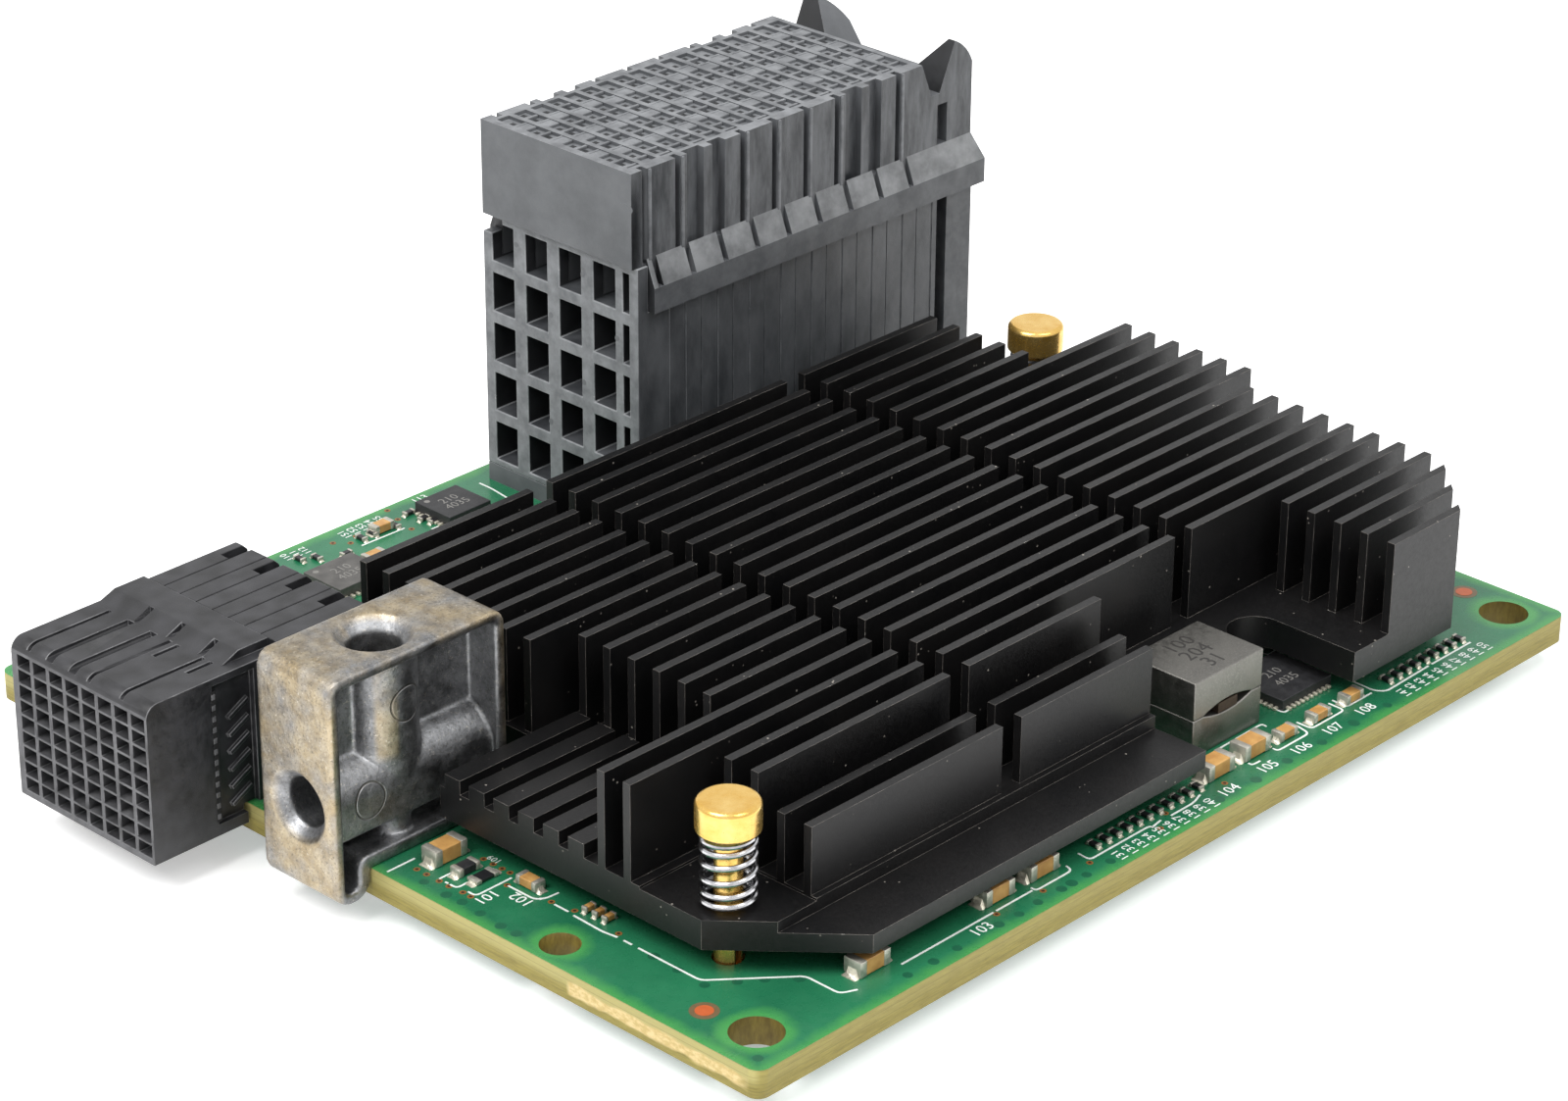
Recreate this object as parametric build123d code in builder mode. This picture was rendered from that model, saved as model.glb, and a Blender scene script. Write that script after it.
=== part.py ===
from build123d import *
import os

os.makedirs("parts", exist_ok=True)

# Sizes are in millimetres. Plan positions (x to the right, y to the back) are measured
# from the board's front left corner, and heights from its underside. The part's origin
# is the axis of the front left mounting hole, on the underside.

# Circuit board
board_length = 90.7
board_width = 79.6
board_thickness = 2.2
board_corner_radius = 1.0
mount_hole_diameter = 3.85
mount_hole_x = 3.56
mount_hole_y = 3.6
mount_hole_spacing = 83.8
side_hole_diameter = 2.95
side_hole_x = 2.2
side_hole_y = 20.8

# Controller package and what lies between it and the heat sink
package_size = 31.0
package_thickness = 1.15
package_lid_size = 24.0
package_lid_thickness = 0.6
thermal_pad_size = 20.0
thermal_pad_thickness = 0.25

# Heat sink, milled from a finned bar
sink_left = 6.0
sink_right_margin = 2.2
sink_front = 2.55
sink_floor_thickness = 2.5
sink_shelf_thickness = 1.45
sink_shelf_back = 7.3
sink_height = 10.0
sink_corner_x = 7.7
sink_corner_y = 8.55
sink_front_corner = 6.5
sink_rear_corner = 4.8
sink_ear_width = 2.8
sink_ear_front = 28.5
sink_ear_slope = 1.5
sink_step_x = 15.3
sink_step_y = 36.8
sink_to_connector = 3.9
fin_thickness = 0.7
fin_pitch = 2.485
first_fin_y = 3.2
low_fin_height = 7.8
cross_cut_width = 2.0
front_cross_cut_x = 33.6
rear_cross_cut_x = 61.5
stub_width = 1.55
stub_height = 1.1
stub_end_x = 18.75
stub_front_y = 22.0
front_fins_x = 71.0
pocket_depth = 0.2
front_pocket_width = 7.2
front_pocket_length = 14.4
rear_pocket_width = 10.1
rear_pocket_length = 11.9
cutout_left_clearance = 3.1
cutout_right_clearance = 2.2
cutout_back_clearance = 1.1
notch_radius = 2.3
notch_y = 10.3
fin_end_setback = 0.4

# Push pins and their springs
pin_inset_x = 3.0
pin_inset_y = 8.95
rear_pin_inset_x = 5.6
rear_pin_inset_y = 8.1
pin_head_diameter = 4.6
pin_head_height = 2.3
pin_head_edge = 0.25
pin_head_above_fins = 0.3
pin_shaft_diameter = 2.0
pin_hole_clearance = 0.15
pin_barb_radius = 1.45
pin_tip_radius = 0.75
pin_tip_length = 2.0
pin_slot_width = 0.5
pin_slot_above_board = 1.2
pin_seat_clearance = 0.05
spring_outer_diameter = 4.1
spring_wire = 0.5
spring_turns = 6

# Inductor in front of the heat sink
inductor_x = 52.1
inductor_y = 6.2
inductor_length = 8.0
inductor_width = 6.3
inductor_height = 6.25
inductor_gap_width = 5.6
inductor_gap_rise = 0.5
inductor_strip_width = 2.2
inductor_strip_clearance = 0.1

# Small electronic parts
controller_x = 62.6
controller_y = 6.0
controller_length = 5.9
controller_width = 5.4
controller_height = 0.9
rear_chip_height = 1.0
driver_length = 4.5
driver_width = 4.2
driver_to_connector = 6.35
driver_to_back = 4.6
logic_length = 5.0
logic_width = 4.4
logic_to_connector = 20.7
logic_to_back = 7.8
bulk_capacitor_length = 3.0
bulk_capacitor_width = 1.6
bulk_capacitor_height = 1.3
bulk_row_x = (14.5, 27.3, 32.0, 51.7, 55.9)
bulk_row_y = 3.8
side_capacitor_place = (4.55, 34.9)
small_capacitor_length = 2.0
small_capacitor_width = 1.05
small_capacitor_height = 0.8
small_row_x = (59.6, 63.6, 67.6)
small_row_y = 3.5
turned_capacitor_place = (6.05, 27.75)
rear_capacitor_x = (32.0, 36.0)
rear_capacitor_to_back = (6.6, 3.0)
bead_place = (4.25, 32.45)
bead_height = 0.7
resistor_length = 1.05
resistor_width = 0.55
resistor_height = 0.35
resistor_pitch = 1.15
resistor_count = 11
resistor_row_x = 37.6
resistor_row_y = 3.3
large_resistor_place = (4.5, 30.9)
end_cap_share = 0.22
end_cap_proud = 0.05

# Right-angle edge connector
edge_left = -9.0
edge_front = 50.3
edge_nose_width = 15.1
edge_columns = 8
edge_rows = 9
edge_cell_pitch_y = 1.82
edge_cell_pitch_z = 1.255
edge_cell_width = 1.45
edge_cell_height = 1.06
edge_cell_depth = 5.0
edge_near_wall = 0.05
edge_cells_middle_z = 6.93
edge_bottom = 0.85
edge_nose_top = 13.5
edge_nose_radius = 1.1
edge_body_top = 14.2
edge_nose_length = 7.7
edge_ramp_length = 1.6
edge_collar_length = 2.75
edge_collar_inset = 1.0
edge_collar_far_inset = 0.3
edge_wafer_pitch = 1.79
edge_wafer_length = 8.75
edge_wafer_gap = 0.08
edge_wafer_chamfer = 0.5
edge_slot_length = 2.6
edge_slot_width = 0.9
edge_slot_depth = 1.3
board_edge_clearance = 0.3
groove_depth = 0.45
narrow_groove = 0.35
wide_groove = 0.75
long_groove_columns = (1.5, 3.5, 7.2)
wide_groove_columns = (4.4, 5.8)
short_groove_columns = (1.0, 3.0)
short_groove_length = 2.3
ramp_notch = 0.5
side_pocket_length = 3.8
side_pocket_bottom = 1.75
side_pocket_border = 0.6
side_pocket_depth = 0.5
louvre_count = 6
louvre_pitch = 1.4
louvre_length = 2.1
louvre_thickness = 0.35
louvre_height = 0.3
louvre_tilt = 28
seam_notch_count = 9
seam_notch_pitch = 1.2
seam_notch_width = 0.36
seam_notch_height = 0.55
tail_rows = 5
tail_pitch = 1.5
tail_first_x = 4.6
tail_size = 0.4
tail_hole_diameter = 0.6
tail_below_board = 0.9

# Tall mezzanine connector
mezz_left = 48.7
mezz_right_margin = 2.5
mezz_back_margin = 2.1
mezz_width = 17.5
mezz_side_step = 0.2
mezz_base_thickness = 1.6
mezz_collar_bottom = 22.1
mezz_collar_rim = 2.1
mezz_collar_slope = 2.3
mezz_collar_proud = 0.9
mezz_collar_overhang = 0.6
mezz_top = 34.0
mezz_tower_overhang = 0.4
mezz_tower_setback = 0.3
mezz_horn_rise = 1.1
mezz_wafer_pitch = 3.63
mezz_wafer_gap = 0.06
mezz_wafer_groove = 0.25
mezz_cover_thickness = 3.6
mezz_cover_lip = 1.2
mezz_cover_top = 26.0
mezz_post_width = 3.1
mezz_post_gap = 1.2
window_width = 2.45
window_height = 3.35
window_depth = 3.2
window_top_margin = 0.7
window_side_margin = 0.6
window_columns = 4
window_rows = 5
window_pitch_y = 3.85
window_pitch_z = 4.4
narrow_window_width = 0.7
narrow_window_inset = 1.3
cover_notch_width = 2.2
cover_notch_height = 1.7
slot_length = 0.95
slot_width = 0.6
slot_depth = 1.6
slot_pitch_x = 1.815
slot_pitch_y = 1.36
slot_field_margin = 1.0
slot_field_inset = 2.2
slot_rows = 18
slots_per_row = 10
trench_width = 1.05
trench_depth = 0.3
side_groove_start = 1.2
side_groove_width = 0.55
side_groove_depth = 0.7
side_groove_run_out = 0.4
wide_groove_places = (2, 7)
wide_groove_offset = 2.35
wide_groove_width = 1.9
second_groove_offset = 0.45
second_groove_width = 1.45
collar_slot_offset = 0.9
collar_slot_width = 0.55
recess_setback = 4.2
recess_width = 1.2
recess_height = 3.5
recess_depth = 0.9
horn_gap_depth = 3.0
horn_gap_floor_width = 1.0
horn_gap_near_slope = 1.2
horn_gap_far_slope = 1.8
horn_thickness = 2.2
horn_shoulder = 2.3
horn_shoulder_width = 0.7
horn_reach = 3.8
horn_root = 0.7
peg_diameter = 1.6
peg_below_board = 0.8
peg_clearance = 0.1

# Die-cast guide block
guide_left = -3.3
guide_right = 13.1
guide_front = 37.4
guide_depth = 7.6
guide_height = 17.9
guide_wall = 0.85
guide_corner = 1.2
guide_inner_corner = 0.5
guide_foot = 1.1
guide_foot_corner = 1.0
guide_hook_bottom = 0.1
guide_hook_corner = 1.4
guide_edge_gap = 0.1
guide_bore_diameter = 3.9
guide_bore_x = 4.2
guide_bore_y = 41.2
guide_bore_floor = 10.6
guide_rim_diameter = 5.8
guide_boss_diameter = 6.0
guide_web_thickness = 1.6
guide_web_bottom = 4.6
front_bore_diameter = 3.8
front_bore_z = 7.0
front_bore_depth = 5.2
front_rim_diameter = 5.6
guide_screw_x = 3.8
guide_screw_y = 39.7
guide_post_diameter = 3.0
guide_screw_diameter = 1.8
guide_screw_depth = 4.0
guide_screw_clearance = 0.05
guide_screw_head_diameter = 4.0
guide_screw_head_height = 1.4

# Foot under the back left corner
foot_length = 4.4
foot_width = 3.7
foot_height = 1.6
foot_inset = 0.4
foot_to_back = 1.6

# Levels and edges that several pieces share
board_top = board_thickness
lid_bottom = board_top + package_thickness
pad_bottom = lid_bottom + package_lid_thickness
sink_bottom = pad_bottom + thermal_pad_thickness
sink_floor = sink_bottom + sink_floor_thickness
fin_top = sink_bottom + sink_height
sink_right = board_length - sink_right_margin
sink_inner_right = sink_right - sink_ear_width
mezz_right = board_length - mezz_right_margin
mezz_back = board_width - mezz_back_margin
mezz_front = mezz_back - mezz_width
sink_back = mezz_front + mezz_side_step - sink_to_connector
pin_x = sink_left + pin_inset_x
pin_y = sink_front + pin_inset_y
rear_pin_x = sink_right - rear_pin_inset_x
rear_pin_y = sink_back - rear_pin_inset_y
pin_head_top = fin_top + pin_head_above_fins
pin_head_bottom = pin_head_top - pin_head_height
pocket_floor = sink_floor - pocket_depth
pin_places = [(pin_x, pin_y), (rear_pin_x, rear_pin_y)]
cutout_left = inductor_x - cutout_left_clearance
cutout_right = inductor_x + inductor_length + cutout_right_clearance
cutout_back = inductor_y + inductor_width + cutout_back_clearance
notch_right = cutout_right + 2 * notch_radius
right_front = first_fin_y - fin_thickness / 2
fin_count = int((sink_back - first_fin_y) / fin_pitch) + 1
fin_rows = [first_fin_y + fin * fin_pitch for fin in range(fin_count)]
sink_middle_x = (sink_left + sink_right) / 2
edge_back = edge_front + edge_nose_width
edge_nose_end = edge_left + edge_nose_length
edge_ramp_end = edge_nose_end + edge_ramp_length
edge_collar_end = edge_ramp_end + edge_collar_length
edge_wafer_end = edge_collar_end + edge_wafer_length
mezz_base_top = board_top + mezz_base_thickness
mezz_near = mezz_front + mezz_side_step
mezz_far = mezz_back - mezz_side_step - mezz_side_step
collar_slope_bottom = mezz_collar_bottom + mezz_collar_rim
collar_top = collar_slope_bottom + mezz_collar_slope
stack_end = mezz_right - mezz_post_width - mezz_post_gap
first_seam = mezz_left + mezz_cover_thickness + mezz_wafer_gap
tower_left = mezz_left - mezz_tower_overhang
tower_right = mezz_right - mezz_tower_setback
guide_back = guide_front + guide_depth


def level(height):
    """Plan view plane at a height, in board positions."""
    return Plane(origin=(-mount_hole_x, -mount_hole_y, height))


def upright(y):
    """Front view plane through y: its own axes are x and height, and it faces forward."""
    return Plane(origin=(-mount_hole_x, y - mount_hole_y, 0), x_dir=(1, 0, 0), z_dir=(0, -1, 0))


def sideways(x):
    """Side view plane through x: its own axes are y and height, and it faces right."""
    return Plane(origin=(x - mount_hole_x, -mount_hole_y, 0), x_dir=(0, 1, 0), z_dir=(1, 0, 0))


def pane(low_1, high_1, low_2, high_2, mode=Mode.ADD):
    """Rectangle between two limits on each axis of the sketch that is open."""
    with Locations(((low_1 + high_1) / 2, (low_2 + high_2) / 2)):
        Rectangle(high_1 - low_1, high_2 - low_2, mode=mode)


def chip(length, width, height):
    """Body of a two-ended chip part with its proud end caps, standing on the open plane."""
    cap = length * end_cap_share
    seat = (Align.CENTER, Align.CENTER, Align.MIN)
    Box(length, width - 2 * end_cap_proud, height - end_cap_proud, align=seat)
    for side in (-1, 1):
        with Locations((side * (length - cap) / 2, 0, 0)):
            Box(cap, width, height, align=seat)


# Circuit board with its mounting, pin, screw, peg and tail holes
guide_screw_place = (guide_screw_x, guide_screw_y)
peg_places = [
    (mezz_left + mezz_cover_thickness / 2, (mezz_near + mezz_far) / 2),
    (mezz_right - mezz_post_width / 2, (mezz_near + mezz_far) / 2),
]
tail_places = [
    (tail_first_x + row * tail_pitch, edge_front + (column + 0.5) * edge_wafer_pitch)
    for column in range(edge_columns)
    for row in range(tail_rows)
]
mount_places = [(mount_hole_x, mount_hole_y), (mount_hole_x + mount_hole_spacing, mount_hole_y)]

with BuildPart() as circuit_board:
    with BuildSketch(level(0)) as board_plan:
        pane(0, board_length, 0, board_width)
        fillet(board_plan.vertices(), board_corner_radius)
        with Locations(*mount_places):
            Circle(mount_hole_diameter / 2, mode=Mode.SUBTRACT)
        with Locations((side_hole_x, side_hole_y)):
            Circle(side_hole_diameter / 2, mode=Mode.SUBTRACT)
        with Locations(*pin_places):
            Circle(pin_shaft_diameter / 2 + pin_hole_clearance, mode=Mode.SUBTRACT)
        with Locations(guide_screw_place):
            Circle(guide_screw_diameter / 2 + guide_screw_clearance, mode=Mode.SUBTRACT)
        with Locations(*peg_places):
            Circle(peg_diameter / 2 + peg_clearance, mode=Mode.SUBTRACT)
        # Eight flats stand for the wall of each of the many tail holes
        with Locations(*tail_places):
            RegularPolygon(tail_hole_diameter / 2, 8, major_radius=False, mode=Mode.SUBTRACT)
    extrude(amount=board_thickness)
circuit_board.part.label = "circuit_board"
export_step(circuit_board.part, "parts/circuit_board.step")

# Controller package: substrate on the board, metal lid, thermal pad under the heat sink
package_place = (sink_middle_x, (sink_front + sink_back) / 2 + sink_to_connector)

with BuildPart() as controller_substrate:
    with BuildSketch(level(board_top)):
        with Locations(package_place):
            Rectangle(package_size, package_size)
    extrude(amount=package_thickness)
controller_substrate.part.label = "controller_substrate"
export_step(controller_substrate.part, "parts/controller_substrate.step")

with BuildPart() as controller_lid:
    with BuildSketch(level(lid_bottom)) as lid_plan:
        with Locations(package_place):
            Rectangle(package_lid_size, package_lid_size)
        fillet(lid_plan.vertices(), board_corner_radius)
    extrude(amount=package_lid_thickness)
controller_lid.part.label = "controller_lid"
export_step(controller_lid.part, "parts/controller_lid.step")

with BuildPart() as thermal_pad:
    with BuildSketch(level(pad_bottom)):
        with Locations(package_place):
            Rectangle(thermal_pad_size, thermal_pad_size)
    extrude(amount=thermal_pad_thickness)
thermal_pad.part.label = "thermal_pad"
export_step(thermal_pad.part, "parts/thermal_pad.step")

# Heat sink outline: cut corners at the two pins, a bay for the inductor with a round notch
with BuildSketch(level(0)) as sink_plan:
    with BuildLine():
        Polyline(
            (cutout_right, notch_y),
            (cutout_right, cutout_back),
            (cutout_left, cutout_back),
            (cutout_left, sink_front),
            (sink_left + sink_corner_x, sink_front),
            (sink_left, sink_front + sink_corner_y),
            (sink_left, sink_step_y),
            (sink_step_x, sink_step_y),
            (sink_step_x, sink_back),
            (sink_right - sink_rear_corner, sink_back),
            (sink_right, sink_back - sink_rear_corner),
            (sink_right, sink_ear_front + sink_ear_slope),
            (sink_inner_right, sink_ear_front),
            (sink_inner_right, right_front + sink_front_corner),
            (sink_inner_right - sink_front_corner, right_front),
            (notch_right, right_front),
            (notch_right, notch_y),
        )
        ThreePointArc(
            (notch_right, notch_y),
            (cutout_right + notch_radius, notch_y + notch_radius),
            (cutout_right, notch_y),
        )
    make_face()

with BuildPart() as heat_sink:
    extrude(sink_plan.sketch.moved(Location((0, 0, sink_bottom))), amount=sink_floor_thickness)
    # The bar's fins, with the places where they are milled away
    with BuildSketch(level(sink_floor)):
        with Locations(*[(sink_middle_x, fin_y) for fin_y in fin_rows]):
            Rectangle(sink_right - sink_left, fin_thickness)
        add(sink_plan.sketch_local, mode=Mode.INTERSECT)
        pane(0, sink_left + front_pocket_width, 0, sink_front + front_pocket_length, Mode.SUBTRACT)
        pane(0, stub_end_x, stub_front_y, sink_step_y, Mode.SUBTRACT)
        pane(0, sink_step_x + fin_end_setback, sink_step_y, board_width, Mode.SUBTRACT)
        pane(0, front_fins_x, 0, sink_shelf_back, Mode.SUBTRACT)
        pane(cutout_left, front_fins_x, 0, cutout_back + fin_end_setback, Mode.SUBTRACT)
        pane(sink_right - rear_pocket_width, board_length, sink_back - rear_pocket_length,
             board_width, Mode.SUBTRACT)
        for cut_x in (front_cross_cut_x, rear_cross_cut_x):
            pane(cut_x - cross_cut_width / 2, cut_x + cross_cut_width / 2, 0, board_width,
                 Mode.SUBTRACT)
    extrude(amount=fin_top - sink_floor)
    # Short stubs of the milled fins at the left
    with BuildSketch(level(sink_floor)):
        for fin_y in fin_rows:
            if stub_front_y < fin_y < sink_step_y - stub_width / 2:
                pane(sink_left, stub_end_x, fin_y - stub_width / 2, fin_y + stub_width / 2)
    extrude(amount=stub_height)
    # Lower fins beside the inductor bay
    with BuildSketch(level(sink_bottom + low_fin_height)):
        pane(0, cutout_left, 0, sink_front + sink_corner_y)
    extrude(amount=sink_height, mode=Mode.SUBTRACT)
    # Thin shelf along the front, over the row of capacitors
    with BuildSketch(level(sink_bottom + sink_shelf_thickness)):
        pane(0, cutout_left, 0, sink_shelf_back)
    extrude(amount=sink_height, mode=Mode.SUBTRACT)
    # Spot-faced corners and holes for the two push pins
    with BuildSketch(level(pocket_floor)):
        pane(0, sink_left + front_pocket_width, sink_shelf_back, sink_front + front_pocket_length)
        pane(sink_right - rear_pocket_width, board_length, sink_back - rear_pocket_length,
             board_width)
    extrude(amount=sink_height, mode=Mode.SUBTRACT)
    with BuildSketch(level(sink_bottom)):
        with Locations(*pin_places):
            Circle(pin_shaft_diameter / 2 + pin_hole_clearance)
    extrude(amount=sink_height, mode=Mode.SUBTRACT)
heat_sink.part.label = "heat_sink"
export_step(heat_sink.part, "parts/heat_sink.step")

# Two turned push pins with slotted barbed tips, and the coil springs under their heads
spring_radius = (spring_outer_diameter - spring_wire) / 2
spring_length = pin_head_bottom - pocket_floor - spring_wire

for place, side in zip(pin_places, ("front", "rear")):
    axis_x = place[0] - mount_hole_x
    axis_y = place[1] - mount_hole_y
    pin_axis = Axis((axis_x, axis_y, 0), (0, 0, 1))
    pin_section = Plane(origin=(axis_x, axis_y, 0), x_dir=(1, 0, 0), z_dir=(0, -1, 0))

    with BuildPart() as push_pin:
        with BuildSketch(pin_section):
            with BuildLine():
                Polyline(
                    (0, pin_head_top),
                    (pin_head_diameter / 2 - pin_head_edge, pin_head_top),
                    (pin_head_diameter / 2, pin_head_top - pin_head_edge),
                    (pin_head_diameter / 2, pin_head_bottom),
                    (pin_shaft_diameter / 2, pin_head_bottom),
                    (pin_shaft_diameter / 2, -pin_seat_clearance),
                    (pin_barb_radius, -pin_seat_clearance),
                    (pin_tip_radius, -pin_tip_length),
                    (0, -pin_tip_length),
                    close=True,
                )
            make_face()
        revolve(axis=pin_axis)
        with BuildSketch(pin_section):
            Rectangle(pin_slot_width, 2 * (pin_tip_length + pin_slot_above_board))
        extrude(amount=pin_head_diameter / 2, both=True, mode=Mode.SUBTRACT)
    push_pin.part.label = f"push_pin_{side}"
    export_step(push_pin.part, f"parts/push_pin_{side}.step")

    with BuildPart() as pin_spring:
        with BuildLine(Plane(origin=(axis_x, axis_y, pocket_floor + spring_wire / 2))):
            coil = Helix(spring_length / spring_turns, spring_length, spring_radius)
        with BuildSketch(Plane(origin=coil @ 0, x_dir=(1, 0, 0), z_dir=coil % 0)):
            Rectangle(spring_wire, spring_wire)
        sweep(path=coil, is_frenet=True)
    pin_spring.part.label = f"pin_spring_{side}"
    export_step(pin_spring.part, f"parts/pin_spring_{side}.step")

# Inductor: two core halves with a lens-shaped window between them, and the strip in it
inductor_middle = inductor_x + inductor_length / 2
inductor_back = inductor_y + inductor_width
core_split = board_top + inductor_height / 2

with BuildPart() as inductor_core_lower:
    with BuildSketch(upright(inductor_back)):
        with BuildLine():
            Polyline(
                (inductor_middle - inductor_gap_width / 2, core_split),
                (inductor_x, core_split),
                (inductor_x, board_top),
                (inductor_x + inductor_length, board_top),
                (inductor_x + inductor_length, core_split),
                (inductor_middle + inductor_gap_width / 2, core_split),
            )
            ThreePointArc(
                (inductor_middle + inductor_gap_width / 2, core_split),
                (inductor_middle, core_split - inductor_gap_rise),
                (inductor_middle - inductor_gap_width / 2, core_split),
            )
        make_face()
    extrude(amount=inductor_width)
inductor_core_lower.part.label = "inductor_core_lower"
export_step(inductor_core_lower.part, "parts/inductor_core_lower.step")

with BuildPart() as inductor_core_upper:
    with BuildSketch(upright(inductor_back)):
        with BuildLine():
            Polyline(
                (inductor_middle - inductor_gap_width / 2, core_split),
                (inductor_x, core_split),
                (inductor_x, board_top + inductor_height),
                (inductor_x + inductor_length, board_top + inductor_height),
                (inductor_x + inductor_length, core_split),
                (inductor_middle + inductor_gap_width / 2, core_split),
            )
            ThreePointArc(
                (inductor_middle + inductor_gap_width / 2, core_split),
                (inductor_middle, core_split + inductor_gap_rise),
                (inductor_middle - inductor_gap_width / 2, core_split),
            )
        make_face()
    extrude(amount=inductor_width)
inductor_core_upper.part.label = "inductor_core_upper"
export_step(inductor_core_upper.part, "parts/inductor_core_upper.step")

with BuildPart() as inductor_strip:
    with BuildSketch(upright(inductor_back)):
        strip_height = 2 * (inductor_gap_rise - inductor_strip_clearance)
        with Locations((inductor_middle, core_split)):
            Rectangle(inductor_strip_width, strip_height)
    extrude(amount=inductor_width)
inductor_strip.part.label = "inductor_strip"
export_step(inductor_strip.part, "parts/inductor_strip.step")

# Flat chip packages soldered to the board
with BuildPart() as power_controller:
    with BuildSketch(level(board_top)):
        pane(controller_x, controller_x + controller_length,
             controller_y, controller_y + controller_width)
    extrude(amount=controller_height)
power_controller.part.label = "power_controller"
export_step(power_controller.part, "parts/power_controller.step")

with BuildPart() as rear_driver_chip:
    with BuildSketch(level(board_top)):
        with Locations((mezz_left - driver_to_connector, board_width - driver_to_back)):
            Rectangle(driver_length, driver_width)
    extrude(amount=rear_chip_height)
rear_driver_chip.part.label = "rear_driver_chip"
export_step(rear_driver_chip.part, "parts/rear_driver_chip.step")

with BuildPart() as rear_logic_chip:
    with BuildSketch(level(board_top)):
        with Locations((mezz_left - logic_to_connector, board_width - logic_to_back)):
            Rectangle(logic_length, logic_width)
    extrude(amount=rear_chip_height)
rear_logic_chip.part.label = "rear_logic_chip"
export_step(rear_logic_chip.part, "parts/rear_logic_chip.step")

# Chip capacitors and resistors, each group a set of separate solids
with BuildPart() as bulk_capacitors:
    with Locations(level(board_top)):
        with Locations(*[(place, bulk_row_y) for place in bulk_row_x], side_capacitor_place):
            chip(bulk_capacitor_length, bulk_capacitor_width, bulk_capacitor_height)
bulk_capacitors.part.label = "bulk_capacitors"
export_step(bulk_capacitors.part, "parts/bulk_capacitors.step")

with BuildPart() as ceramic_capacitors:
    with Locations(level(board_top)):
        with Locations(*[(place, small_row_y) for place in small_row_x]):
            chip(small_capacitor_length, small_capacitor_width, small_capacitor_height)
        for rear_x, to_back in zip(rear_capacitor_x, rear_capacitor_to_back):
            with Locations((rear_x, board_width - to_back)):
                chip(small_capacitor_length, small_capacitor_width, small_capacitor_height)
        with Locations(Location((*turned_capacitor_place, 0), (0, 0, 90))):
            chip(small_capacitor_length, small_capacitor_width, small_capacitor_height)
ceramic_capacitors.part.label = "ceramic_capacitors"
export_step(ceramic_capacitors.part, "parts/ceramic_capacitors.step")

with BuildPart() as ferrite_bead:
    with Locations(level(board_top)):
        with Locations(bead_place):
            chip(small_capacitor_length, small_capacitor_width, bead_height)
ferrite_bead.part.label = "ferrite_bead"
export_step(ferrite_bead.part, "parts/ferrite_bead.step")

with BuildPart() as chip_resistors:
    with Locations(level(board_top)):
        for step in range(resistor_count):
            with Locations(Location((resistor_row_x + step * resistor_pitch, resistor_row_y, 0),
                                    (0, 0, 90))):
                chip(resistor_length, resistor_width, resistor_height)
        with Locations(large_resistor_place):
            chip(2 * resistor_length, 2 * resistor_width, resistor_height)
chip_resistors.part.label = "chip_resistors"
export_step(chip_resistors.part, "parts/chip_resistors.step")

# Edge connector housing: hollow-celled nose over the board's edge, ramp and collar
cells_middle_y = edge_front + edge_near_wall + edge_columns * edge_cell_pitch_y / 2
pocket_left = edge_ramp_end + edge_collar_length / 6 - side_pocket_length
pocket_right = pocket_left + side_pocket_length
pocket_top = edge_nose_top - side_pocket_border
pocket_middle = (pocket_left + pocket_right) / 2 + side_pocket_border
louvre_bottom = side_pocket_bottom + louvre_pitch

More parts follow.
